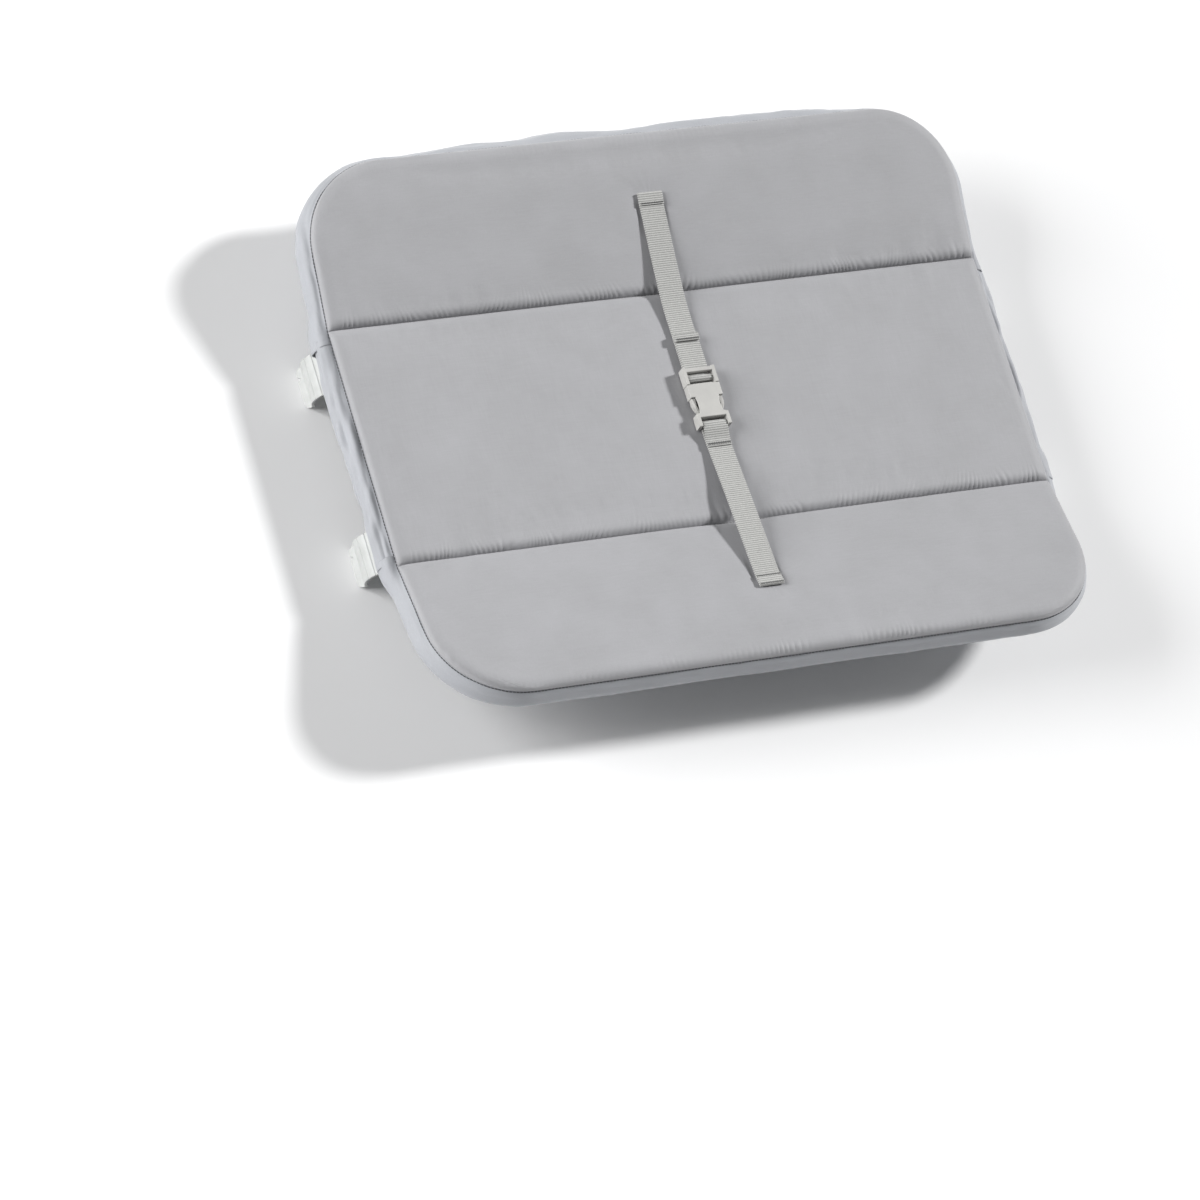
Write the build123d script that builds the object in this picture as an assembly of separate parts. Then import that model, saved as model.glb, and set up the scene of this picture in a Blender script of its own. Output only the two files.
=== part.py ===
from build123d import *
import math
import os

# Clip-on changing pad for a travel cot: a quilted three-panel trough on a bent tube frame,
# with four snap clips for the cot's side rails and a safety strap with a side-release buckle.
# +X runs along the pad, +Y across it, +Z up. The origin is on the resting plane of the clips'
# lips, under the middle of the pad. Sizes are in millimetres and degrees.

# Quilted pad
PAD_LENGTH = 670.0
CENTRE_WIDTH = 240.0
SIDE_WIDTH = 156.0
SIDE_TILT = 13.4
CORNER_RADIUS = 80.0
FOAM_THICK = 9.4
CLOTH_THICK = 1.0
CLOTH_GAP = 0.2
SEAM_HALF_WIDTH = 2.5
QUILT_EDGE_RADIUS = 6.0
QUILT_HEIGHT = 8.0

# Tube frame
TUBE_OD = 16.0
TUBE_WALL = 1.2
TUBE_INSET = 2.5
LONG_EDGE_INSET = 8.0
FOLD_BEND_RADIUS = 40.0
FRAME_SPLIT = 1.0
SPIGOT_LENGTH = 70.0
SPIGOT_FIT = 0.15
RIVET_RADIUS = 2.0
RIVET_HEAD_RADIUS = 3.5
RIVET_HEAD_HEIGHT = 1.2
RIVET_PITCH = 40.0
HOLE_FIT = 0.1

# Snap clips
RAIL_RADIUS = 16.0
CLIP_LENGTH = 42.0
CLIP_WALL = 3.0
JAW_WALL = 2.6
JAW_HALF_ANGLE = 130.0
LIP_FLARE = 4.2
LIP_THICK = 3.0
LIP_CORNER = 6.0
CLIP_FIT = 0.1
CLIP_END_MARGIN = 7.0
CLIP_TO_BASE_GAP = 0.7
GROOVE_RADIUS = 1.1
GROOVE_ANGLES = (42.0, 68.0)
NOTCH_DEPTH = 1.6
NOTCH_SHARE = 0.25
SCREW_RADIUS = 1.6
SCREW_HEAD_RADIUS = 3.4
SCREW_HEAD_HEIGHT = 2.0
SCREW_PAST_WALL = 3.0

# Edge cloth round the frame
SLEEVE_GAP = 0.4
SKIRT_GAP = 0.5
SKIRT_LOW_ANGLE = -45.0
SKIRT_HIGH_ANGLE = 50.0
SKIRT_END_MARGIN = 5.0
SKIRT_SLEEVE_GAP = 0.5

# Safety strap
STRAP_X = 8.0
WEB_WIDTH = 25.0
WEB_THICK = 1.4
WEB_GAP = 0.3
WEB_BITE = 0.2
TAB_LENGTH = 12.0
BACK_ANCHOR = 90.0
FRONT_ANCHOR = 76.0
TAIL_LENGTH = 29.0
HEM_LENGTH = 8.0
HEM_LAYERS = 3
TACK_LENGTH = 6.0
LOOP_LENGTH = 16.0
THREAD_THICK = 0.4
THREAD_ROW = 1.2
THREAD_SHARE = 0.9

# Side-release buckle, its length along Y
BUCKLE_WIDTH = 33.0
BUCKLE_HEIGHT = 10.0
BUCKLE_LIFT = 0.5
BUCKLE_SHIFT = 2.5
LADDER_LENGTH = 18.0
MOUTH_LENGTH = 13.0
WAIST_LENGTH = 16.0
SHOULDER_LENGTH = 5.0
LEG_LENGTH = 9.0
SIDE_RAIL = 3.2
SHELL_WALL = 1.8
WAIST_WIDTH = 22.0
BAR_RADIUS = 2.0
END_BAR_LENGTH = 4.0
END_BAR_HEIGHT = 4.4
ROOT_LENGTH = 4.0
RUNNING_GAP = 0.5
TONGUE_WIDTH = 6.0
TONGUE_THICK = 3.0
PRONG_THICK = 3.2
PRONG_BARB = 1.8
PRONG_GAP = 0.6
PRONG_TIP_INSET = 3.6
PRONG_CATCH_FACE = 3.0
PRONG_BOW = 0.6
PRONG_KNEE = 0.4
WAIST_BOW = 1.2
LADDER_ROOT = 4.0
BAR_SETBACK = 1.0
MOULD_RADIUS = 0.8

# How far a cutter runs past what it cuts, and a joined piece into its neighbour
PAST = 1.0

# Worked-out levels: rail, tube, pad
JAW_Z = RAIL_RADIUS
TUBE_R = TUBE_OD / 2
TUBE_Z = JAW_Z + RAIL_RADIUS + CLIP_WALL + TUBE_R
BARREL_R = TUBE_R + CLIP_FIT + CLIP_WALL
BASE_HIGH = -(FOAM_THICK + CLOTH_THICK + 2 * CLOTH_GAP - QUILT_HEIGHT)
BASE_LOW = BASE_HIGH - CLOTH_THICK
TUBE_DEPTH = BARREL_R + CLIP_TO_BASE_GAP - BASE_LOW
SEAM_Z = TUBE_Z + TUBE_DEPTH
TUBE_X = PAD_LENGTH / 2 - TUBE_INSET
FOLD_Y = CENTRE_WIDTH / 2
CLIP_Y = FOLD_Y - CLIP_END_MARGIN - CLIP_LENGTH / 2
SKIRT_HALF = FOLD_Y - SKIRT_END_MARGIN

# Worked-out buckle places
BUCKLE_Z = SEAM_Z + QUILT_HEIGHT + BUCKLE_LIFT + BUCKLE_HEIGHT / 2
HALF_BUCKLE = BUCKLE_WIDTH / 2
MOUTH_Y = BUCKLE_SHIFT + MOUTH_LENGTH
CATCH_Y = MOUTH_Y - MOUTH_LENGTH
WAIST_END_Y = CATCH_Y - WAIST_LENGTH
SHOULDER_END_Y = WAIST_END_Y - SHOULDER_LENGTH
SOCKET_END_Y = SHOULDER_END_Y - LEG_LENGTH
PLUG_END_Y = MOUTH_Y + LADDER_LENGTH
TURN_IN = BAR_RADIUS + HOLE_FIT * 2
TURN_OUT = TURN_IN + WEB_THICK
TURN_MID = TURN_IN + WEB_THICK / 2
PLUG_BAR_Y = MOUTH_Y + TURN_OUT + LADDER_ROOT
SOCKET_BAR_Y = SOCKET_END_Y + BAR_RADIUS + BAR_SETBACK
WEB_LOW_Z = BUCKLE_Z - TURN_MID
TAIL_Z = WEB_LOW_Z + WEB_THICK + WEB_GAP

BACK, FRONT = 1, -1


def trough_point(side, out, height):
    """Y and Z of a point on an outer panel: out from its fold line, height above the seam plane."""
    tilt = math.radians(SIDE_TILT)
    y = FOLD_Y + out * math.cos(tilt) - height * math.sin(tilt)
    z = SEAM_Z + out * math.sin(tilt) + height * math.cos(tilt)
    return side * y, z


def fold_point(side, height):
    """Where the centre panel's plane and an outer panel's plane meet, at a height off the seams."""
    return side * (FOLD_Y - height * math.tan(math.radians(SIDE_TILT / 2))), SEAM_Z + height


def panel_plane(side):
    """An outer panel's plane: local Y runs outwards and local Z off the upper face."""
    tilt = math.radians(SIDE_TILT)
    origin = (0, side * FOLD_Y, SEAM_Z)
    normal = (0, -side * math.sin(tilt), math.cos(tilt))
    return Plane(origin=origin, x_dir=(side, 0, 0), z_dir=normal)


def side_panel(side, inset, seam_gap, low, high, edge_radius=0):
    """An outer panel with its two rounded corners, between two heights off the seam plane."""
    half = PAD_LENGTH / 2 - inset
    far = SIDE_WIDTH - inset
    outline = Polyline((-half, seam_gap), (half, seam_gap), (half, far), (-half, far), close=True)
    face = make_face(outline)
    face = fillet(face.vertices().sort_by(Axis.Y)[-2:], CORNER_RADIUS - inset)
    slab = Pos(0, 0, low) * extrude(face, high - low)
    if edge_radius:
        slab = fillet(slab.faces().sort_by(Axis.Z)[-1].edges(), edge_radius)
    return panel_plane(side) * slab


def centre_panel(inset, seam_gap, low, high, edge_radius=0):
    """The flat middle panel between two heights off the seam plane."""
    length = PAD_LENGTH - 2 * inset
    width = CENTRE_WIDTH - 2 * seam_gap
    slab = Box(length, width, high - low, align=(Align.CENTER, Align.CENTER, Align.MIN))
    if edge_radius:
        slab = fillet(slab.faces().sort_by(Axis.Z)[-1].edges(), edge_radius)
    return Pos(0, 0, SEAM_Z + low) * slab


def foam_core(side):
    """One slab of wadding, clear of the cover and of the quilt seams."""
    inset = CLOTH_THICK + CLOTH_GAP
    gap = SEAM_HALF_WIDTH + CLOTH_GAP
    low = BASE_HIGH + CLOTH_GAP
    radius = QUILT_EDGE_RADIUS - CLOTH_THICK
    if side == 0:
        return centre_panel(inset, gap, low, low + FOAM_THICK, radius)
    return side_panel(side, inset, gap, low, low + FOAM_THICK, radius)


def quilted_cover():
    """The upper cloth: three pillowed panels with a cavity for each slab and a valley at each seam."""
    low = BASE_HIGH + CLOTH_GAP
    roof = QUILT_HEIGHT - CLOTH_THICK
    radius = QUILT_EDGE_RADIUS - CLOTH_THICK
    cover = centre_panel(0, 0, low, QUILT_HEIGHT, QUILT_EDGE_RADIUS)
    for side in (BACK, FRONT):
        cover += side_panel(side, 0, 0, low, QUILT_HEIGHT, QUILT_EDGE_RADIUS)
    cover -= centre_panel(CLOTH_THICK, SEAM_HALF_WIDTH, low - PAST, roof, radius)
    for side in (BACK, FRONT):
        cover -= side_panel(side, CLOTH_THICK, SEAM_HALF_WIDTH, low - PAST, roof, radius)
    return cover


def base_cloth():
    """The under cloth: a thin trough-shaped sheet with the pad's outline, over the frame."""
    section = []
    for height, sides in ((BASE_HIGH, (FRONT, BACK)), (BASE_LOW, (BACK, FRONT))):
        for side in sides:
            edge = trough_point(side, SIDE_WIDTH, height)
            fold = fold_point(side, height)
            section += [edge, fold] if side == sides[0] else [fold, edge]
    profile = Plane.YZ * make_face(Polyline(*section, close=True))
    sheet = extrude(profile, PAD_LENGTH / 2, both=True)
    outline = centre_panel(0, 0, -SEAM_Z, SEAM_Z)
    for side in (BACK, FRONT):
        outline += side_panel(side, 0, 0, -SEAM_Z / 2, SEAM_Z / 2)
        outline += Pos(0, side * FOLD_Y, SEAM_Z) * Box(PAD_LENGTH, CORNER_RADIUS / 2, SEAM_Z)
    return sheet & outline


def frame_path(side, start_y):
    """Half of the frame's centre line: from one short side, round the long side, to the other."""
    fold_y, fold_z = fold_point(side, -TUBE_DEPTH)
    edge_y, edge_z = trough_point(side, SIDE_WIDTH - LONG_EDGE_INSET, -TUBE_DEPTH)
    points = [
        (-TUBE_X, side * start_y, TUBE_Z),
        (-TUBE_X, fold_y, fold_z),
        (-TUBE_X, edge_y, edge_z),
        (TUBE_X, edge_y, edge_z),
        (TUBE_X, fold_y, fold_z),
        (TUBE_X, side * start_y, TUBE_Z),
    ]
    corner = CORNER_RADIUS - TUBE_INSET
    return FilletPolyline(*points, radius=[FOLD_BEND_RADIUS, corner, corner, FOLD_BEND_RADIUS])


def pipe(path, outer, inner):
    """A hollow round pipe along a path."""
    ring = Circle(outer) - Circle(inner)
    return sweep(Plane(origin=path @ 0, z_dir=path % 0) * ring, path=path)


def rivet_places():
    """Middles of the rivets, two on each short side."""
    return [
        Pos(x, y, TUBE_Z)
        for x in (-TUBE_X, TUBE_X)
        for y in (-RIVET_PITCH / 2, RIVET_PITCH / 2)
    ]


def clip_places():
    """Each clip's name and place: one part, turned half round on the right side."""
    return {
        "clip_left_back": Pos(-TUBE_X, CLIP_Y, TUBE_Z) * Rot(0, 0, 180),
        "clip_left_front": Pos(-TUBE_X, -CLIP_Y, TUBE_Z) * Rot(0, 0, 180),
        "clip_right_back": Pos(TUBE_X, CLIP_Y, TUBE_Z),
        "clip_right_front": Pos(TUBE_X, -CLIP_Y, TUBE_Z),
    }


def frame_tube(side):
    """A bent half of the frame, drilled for its rivets and clip screws."""
    tube = pipe(frame_path(side, FRAME_SPLIT / 2), TUBE_R, TUBE_R - TUBE_WALL)
    for place in rivet_places():
        tube -= place * Cylinder(RIVET_RADIUS + HOLE_FIT, TUBE_OD * 2)
    for place in clip_places().values():
        tube -= place * screw_hole()
    return tube


def frame_spigot(side_x):
    """The inner tube that joins the two frame halves in the middle of a short side."""
    outer = TUBE_R - TUBE_WALL - SPIGOT_FIT
    path = Line(
        (side_x * TUBE_X, -SPIGOT_LENGTH / 2, TUBE_Z), (side_x * TUBE_X, SPIGOT_LENGTH / 2, TUBE_Z)
    )
    spigot = pipe(path, outer, outer - TUBE_WALL)
    for place in rivet_places():
        spigot -= place * Cylinder(RIVET_RADIUS + HOLE_FIT, TUBE_OD * 2)
    return spigot


def frame_rivet():
    """A round-headed rivet through tube and spigot."""
    rivet = Cylinder(RIVET_RADIUS, TUBE_OD)
    for end in (1, -1):
        head = Cylinder(RIVET_HEAD_RADIUS, RIVET_HEAD_HEIGHT)
        rim = head.edges().filter_by(GeomType.CIRCLE).sort_by(Axis.Z)[-1]
        head = fillet(rim, RIVET_HEAD_HEIGHT / 2)
        turn = Rot(0, 0, 0) if end == 1 else Rot(180, 0, 0)
        rivet += turn * Pos(0, 0, TUBE_R + RIVET_HEAD_HEIGHT / 2) * head
    return rivet


def screw_hole():
    """The clip screw's hole: from the pad's side, through barrel and tube wall."""
    length = CLIP_WALL + TUBE_WALL + SCREW_PAST_WALL
    reach = BARREL_R + PAST - length / 2
    hole = Cylinder(SCREW_RADIUS + HOLE_FIT, length + 2 * PAST)
    return Pos(-reach, 0, 0) * Rot(0, 90, 0) * hole


def clip_screw():
    """A pan-head screw, its head against the barrel on the pad's side."""
    length = CLIP_WALL + TUBE_WALL + SCREW_PAST_WALL
    shank = Pos(-BARREL_R + length / 2, 0, 0) * Rot(0, 90, 0) * Cylinder(SCREW_RADIUS, length)
    head = Cylinder(SCREW_HEAD_RADIUS, SCREW_HEAD_HEIGHT)
    rim = head.edges().filter_by(GeomType.CIRCLE).sort_by(Axis.Z)[0]
    head = fillet(rim, SCREW_HEAD_HEIGHT / 2)
    place = Pos(-BARREL_R - SCREW_HEAD_HEIGHT / 2, 0, 0) * Rot(0, 90, 0)
    return shank + place * head


def clip_section():
    """The clip's section across the rail: barrel, web and open jaw with flared lips, tube at 0, 0."""
    drop = TUBE_Z - JAW_Z
    outer = RAIL_RADIUS + JAW_WALL
    angle = math.radians(JAW_HALF_ANGLE)
    inner_x, inner_z = RAIL_RADIUS * math.sin(angle), RAIL_RADIUS * math.cos(angle) - drop
    outer_x, outer_z = outer * math.sin(angle), outer * math.cos(angle) - drop
    section = Circle(BARREL_R) + Pos(0, -drop) * Circle(outer)
    web_low = outer * math.sqrt(0.5)
    web_high = BARREL_R * math.sqrt(0.5)
    section += make_face(
        Polyline(
            (-web_high, -web_high),
            (web_high, -web_high),
            (web_low, web_low - drop),
            (-web_low, web_low - drop),
            close=True,
        )
    )
    for side in (1, -1):
        foot = inner_x + LIP_FLARE
        section += make_face(
            Polyline(
                (side * inner_x, inner_z),
                (side * (outer_x + PAST), outer_z + 2 * PAST),
                (side * (foot + LIP_THICK), -TUBE_Z),
                (side * foot, -TUBE_Z),
                close=True,
            )
        )
    section -= Circle(TUBE_R + CLIP_FIT)
    section -= Pos(0, -drop) * Circle(RAIL_RADIUS)
    section -= make_face(
        Polyline(
            (-inner_x, inner_z),
            (inner_x, inner_z),
            (inner_x + LIP_FLARE, -TUBE_Z),
            (inner_x + LIP_FLARE, -TUBE_Z - outer),
            (-inner_x - LIP_FLARE, -TUBE_Z - outer),
            (-inner_x - LIP_FLARE, -TUBE_Z),
            close=True,
        )
    )
    return section


def lip_cutter(end):
    """Rounds the lips' lower corners at one end of the clip."""
    wide = 4 * RAIL_RADIUS
    block = Box(wide, LIP_CORNER, LIP_CORNER, align=(Align.CENTER, Align.MIN, Align.MIN))
    block -= Pos(0, 0, LIP_CORNER) * Rot(0, 90, 0) * Cylinder(LIP_CORNER, wide)
    turned = block if end == 1 else Rot(0, 0, 180) * block
    return Pos(0, end * (CLIP_LENGTH / 2 - LIP_CORNER), -TUBE_Z) * turned


def snap_clip():
    """One moulded clip, its tube along Y at the origin and its outer side towards +X."""
    clip = extrude(Plane.XZ * clip_section(), CLIP_LENGTH / 2, both=True)
    for end in (1, -1):
        clip -= lip_cutter(end)
    drop = TUBE_Z - JAW_Z
    groove_r = RAIL_RADIUS + JAW_WALL + GROOVE_RADIUS / 2
    for angle in GROOVE_ANGLES:
        x = groove_r * math.sin(math.radians(angle))
        z = groove_r * math.cos(math.radians(angle)) - drop
        clip -= Pos(x, 0, z) * Rot(90, 0, 0) * Cylinder(GROOVE_RADIUS, CLIP_LENGTH * 2)
    lip_x = RAIL_RADIUS * math.sin(math.radians(JAW_HALF_ANGLE)) + LIP_FLARE + LIP_THICK
    notch_y = CLIP_LENGTH * (NOTCH_SHARE - 0.5)
    notch = Rot(0, 0, 45) * Box(NOTCH_DEPTH * 2, NOTCH_DEPTH * 2, RAIL_RADIUS)
    clip -= Pos(lip_x, notch_y, -TUBE_Z) * notch
    clip -= screw_hole()
    return clip


def edge_sleeve(side):
    """The cloth pocket sewn round a long side of the frame and its two corners."""
    path = frame_path(side, SKIRT_HALF + SKIRT_SLEEVE_GAP)
    inner = TUBE_R + SLEEVE_GAP
    return pipe(path, inner + CLOTH_THICK, inner)


def edge_skirt(side_x):
    """The cloth band down the outer side of a short side, over the clips' barrels."""
    inner = BARREL_R + SKIRT_GAP
    outer = inner + CLOTH_THICK
    span = SKIRT_HIGH_ANGLE - SKIRT_LOW_ANGLE
    low, high = math.radians(SKIRT_LOW_ANGLE), math.radians(SKIRT_HIGH_ANGLE)
    outer_arc = CenterArc((0, 0), outer, SKIRT_LOW_ANGLE, span)
    inner_arc = CenterArc((0, 0), inner, SKIRT_LOW_ANGLE, span)
    ends = [
        Line((inner * math.cos(a), inner * math.sin(a)), (outer * math.cos(a), outer * math.sin(a)))
        for a in (low, high)
    ]
    band = extrude(Plane.XZ * make_face([outer_arc, inner_arc, *ends]), SKIRT_HALF, both=True)
    turn = Rot(0, 0, 0) if side_x == 1 else Rot(0, 0, 180)
    return Pos(side_x * TUBE_X, 0, TUBE_Z) * turn * band


def ribbon_face(points, thick=WEB_THICK):
    """The side view of flat webbing along a line of Y, Z points, drawn as X, Y."""
    above, below = [], []
    for i, (y, z) in enumerate(points):
        before = points[max(i - 1, 0)]
        after = points[min(i + 1, len(points) - 1)]
        run = math.hypot(after[0] - before[0], after[1] - before[1])
        off_y = -(after[1] - before[1]) / run * thick / 2
        off_z = (after[0] - before[0]) / run * thick / 2
        above.append((y + off_y, z + off_z))
        below.append((y - off_y, z - off_z))
    return make_face(Polyline(*above, *reversed(below), close=True))


def across_strap(face, width=WEB_WIDTH):
    """A side view drawn out to the strap's width, centred on the strap."""
    return Pos(STRAP_X, 0, 0) * extrude(Plane.YZ * face, width / 2, both=True)


def ribbon(points, thick=WEB_THICK, width=WEB_WIDTH):
    """Flat webbing along a line of Y, Z points, centred on the strap."""
    return across_strap(ribbon_face(points, thick), width)


def anchor_run(side, anchor):
    """The stitched end of a strap, flat on an outer panel: its outer and inner points."""
    height = QUILT_HEIGHT + WEB_GAP + WEB_THICK / 2
    return [
        trough_point(side, anchor + TAB_LENGTH / 2, height),
        trough_point(side, anchor - TAB_LENGTH / 2, height),
    ]


def anchor_fold(side, anchor):
    """The second layer of the folded strap end, on top of the first and sunk a little into it."""
    height = QUILT_HEIGHT + WEB_GAP + WEB_THICK * 1.5 - WEB_BITE
    half = TAB_LENGTH / 2 - WEB_BITE
    ends = [trough_point(side, anchor + s * half, height) for s in (-side, side)]
    return ribbon_face(ends)


def strap_back():
    """The upper length of webbing: sewn to the back panel, lying over the centre, to the buckle."""
    bar_edge = PLUG_BAR_Y + TURN_OUT + WEB_GAP
    route = [(bar_edge, WEB_LOW_Z), (PLUG_END_Y + TAIL_LENGTH + HEM_LENGTH + TAB_LENGTH, WEB_LOW_Z)]
    route += reversed(anchor_run(BACK, BACK_ANCHOR))
    return across_strap(ribbon_face(route) + anchor_fold(BACK, BACK_ANCHOR))


def strap_front():
    """The lower length of webbing: sewn to the front panel, looped round the socket's bar."""
    tack_y = SOCKET_BAR_Y - LOOP_LENGTH
    low_z = BUCKLE_Z - TURN_MID
    fold_y, fold_z = fold_point(FRONT, QUILT_HEIGHT)
    sag = (fold_y + WEB_WIDTH, fold_z + TAB_LENGTH / 2)
    slope = (sag[1] - low_z) / (sag[0] - tack_y)
    route = anchor_run(FRONT, FRONT_ANCHOR) + [sag, (tack_y, low_z), (SOCKET_BAR_Y, low_z)]
    face = ribbon_face(route) + anchor_fold(FRONT, FRONT_ANCHOR)
    turn = Circle(TURN_OUT) - Circle(TURN_IN)
    turn -= Pos(-TURN_OUT, 0) * Rectangle(2 * TURN_OUT, 3 * TURN_OUT)
    face += Pos(SOCKET_BAR_Y, BUCKLE_Z) * turn
    over_z = low_z + WEB_THICK - WEB_BITE
    tack_end = (tack_y - TACK_LENGTH, over_z - slope * TACK_LENGTH)
    top_z = BUCKLE_Z + TURN_MID
    over = [(SOCKET_BAR_Y - TURN_OUT, top_z), (SOCKET_BAR_Y, top_z)]
    face += ribbon_face([tack_end, (tack_y, over_z), *over])
    return across_strap(face)


def strap_turn():
    """The roll of webbing round the ladder bar of the plug."""
    ring = Circle(TURN_OUT) - Circle(TURN_IN)
    roll = extrude(Plane.YZ * ring, WEB_WIDTH / 2, both=True)
    return Pos(STRAP_X, PLUG_BAR_Y, BUCKLE_Z) * roll


def strap_tail():
    """The free tail, back under the end bar and along the top of the strap."""
    start = PLUG_BAR_Y + TURN_OUT + WEB_GAP
    return ribbon([(start, TAIL_Z), (PLUG_END_Y + TAIL_LENGTH, TAIL_Z)])


def strap_hem():
    """The thick folded end of the tail, which can't pass the ladder lock."""
    thick = HEM_LAYERS * WEB_THICK
    z = TAIL_Z - WEB_THICK / 2 + thick / 2
    start = PLUG_END_Y + TAIL_LENGTH + HOLE_FIT
    return ribbon([(start, z), (start + HEM_LENGTH, z)], thick)


def hem_stitching():
    """The row of thread across the hem."""
    z = TAIL_Z - WEB_THICK / 2 + HEM_LAYERS * WEB_THICK + THREAD_THICK / 2
    y = PLUG_END_Y + TAIL_LENGTH + THREAD_ROW
    return ribbon([(y, z), (y + THREAD_ROW, z)], THREAD_THICK, WEB_WIDTH * THREAD_SHARE)


def anchor_stitching():
    """Thread across each strap anchor, one row at each side of the tab."""
    height = QUILT_HEIGHT + WEB_GAP + 2 * WEB_THICK + THREAD_THICK / 2
    rows = []
    for side, anchor in ((BACK, BACK_ANCHOR), (FRONT, FRONT_ANCHOR)):
        for end in (-1, 1):
            middle = anchor + end * (TAB_LENGTH / 2 - THREAD_ROW)
            out = [middle - side * THREAD_ROW / 2, middle + side * THREAD_ROW / 2]
            points = [trough_point(side, o, height) for o in out]
            rows.append(ribbon(points, THREAD_THICK, WEB_WIDTH * THREAD_SHARE))
    return Compound(rows)


def strap_bar_tack():
    """The bar of thread that closes the loop of webbing below the socket."""
    z = BUCKLE_Z - TURN_MID + WEB_THICK * 1.5 + 2 * THREAD_THICK
    y = SOCKET_BAR_Y - LOOP_LENGTH - TACK_LENGTH / 2
    return ribbon([(y - THREAD_ROW, z), (y + THREAD_ROW, z)], THREAD_THICK, WEB_WIDTH * THREAD_SHARE)


def y_block(x0, x1, y0, y1, z0, z1):
    """A box between two corners, in the buckle's own frame."""
    size = (abs(x1 - x0), abs(y1 - y0), abs(z1 - z0))
    return Pos((x0 + x1) / 2, (y0 + y1) / 2, (z0 + z1) / 2) * Box(*size)


def cross_bar(y, length):
    """A round bar across the buckle."""
    return Pos(0, y, 0) * Rot(0, 90, 0) * Cylinder(BAR_RADIUS, length)


def buckle_place():
    return Pos(STRAP_X, 0, BUCKLE_Z)


def mouth_half():
    """Half the width and half the height of the socket's mouth."""
    return HALF_BUCKLE - SHELL_WALL, BUCKLE_HEIGHT / 2 - SHELL_WALL


def socket_outline():
    """The socket from above: mouth, waist with its two side cut-outs, and shoulders."""
    w, n = HALF_BUCKLE, WAIST_WIDTH / 2
    bow = WAIST_BOW
    middle = (CATCH_Y + WAIST_END_Y) / 2
    right = [
        Line((w, MOUTH_Y), (w, CATCH_Y)),
        Line((w, CATCH_Y), (n + bow, CATCH_Y)),
        ThreePointArc((n + bow, CATCH_Y), (n, middle), (n + bow, WAIST_END_Y)),
        Line((n + bow, WAIST_END_Y), (w, WAIST_END_Y - bow)),
        Line((w, WAIST_END_Y - bow), (w, SHOULDER_END_Y)),
    ]
    left = [mirror(edge, about=Plane.YZ) for edge in right]
    ends = [Line((-w, y), (w, y)) for y in (MOUTH_Y, SHOULDER_END_Y)]
    return make_face([*right, *left, *ends])


def buckle_socket():
    """The socket: a flat shell open at its mouth and sides, with a bar for the lower webbing."""
    half_h = BUCKLE_HEIGHT / 2
    body = extrude(socket_outline(), half_h, both=True)
    for end in (-1, 0):
        body = fillet(body.faces().sort_by(Axis.Z)[end].edges(), MOULD_RADIUS)
    in_w, in_h = mouth_half()
    body -= y_block(-in_w, in_w, CATCH_Y - HOLE_FIT, MOUTH_Y + PAST, -in_h, in_h)
    deep = WAIST_END_Y + PRONG_GAP
    body -= y_block(-BUCKLE_WIDTH, BUCKLE_WIDTH, deep, CATCH_Y, -in_h, in_h)
    for side in (1, -1):
        outer, inner = side * HALF_BUCKLE, side * (HALF_BUCKLE - SIDE_RAIL)
        leg = y_block(inner, outer, SOCKET_END_Y, SHOULDER_END_Y + PAST, -half_h, half_h)
        body += fillet(leg.edges().filter_by(Axis.X), MOULD_RADIUS)
    body += cross_bar(SOCKET_BAR_Y, BUCKLE_WIDTH - SIDE_RAIL)
    return buckle_place() * body


def buckle_plug():
    """The plug: ladder lock outside, root and guide tongue inside the socket."""
    half_h = BUCKLE_HEIGHT / 2
    in_w, in_h = mouth_half()
    root_w, root_h = in_w - RUNNING_GAP, in_h - RUNNING_GAP
    inner = HALF_BUCKLE - SIDE_RAIL
    low = MOUTH_Y + RUNNING_GAP
    plug = y_block(-root_w, root_w, low - ROOT_LENGTH - RUNNING_GAP, low + PAST, -root_h, root_h)
    for side in (1, -1):
        rail = y_block(side * inner, side * HALF_BUCKLE, low, PLUG_END_Y, -half_h, half_h)
        plug += fillet(rail.edges().filter_by(Axis.X), MOULD_RADIUS)
    end_z = half_h - END_BAR_HEIGHT
    end_y = PLUG_END_Y - BAR_SETBACK
    end = y_block(-inner, inner, end_y - END_BAR_LENGTH, end_y, end_z, half_h)
    plug += fillet(end.edges().filter_by(Axis.X), MOULD_RADIUS)
    plug += cross_bar(PLUG_BAR_Y, 2 * inner + PAST)
    half_t = TONGUE_WIDTH / 2
    tip = WAIST_END_Y + 4 * PRONG_GAP
    plug += y_block(-half_t, half_t, tip, low, -TONGUE_THICK / 2, TONGUE_THICK / 2)
    return buckle_place() * plug


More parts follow.
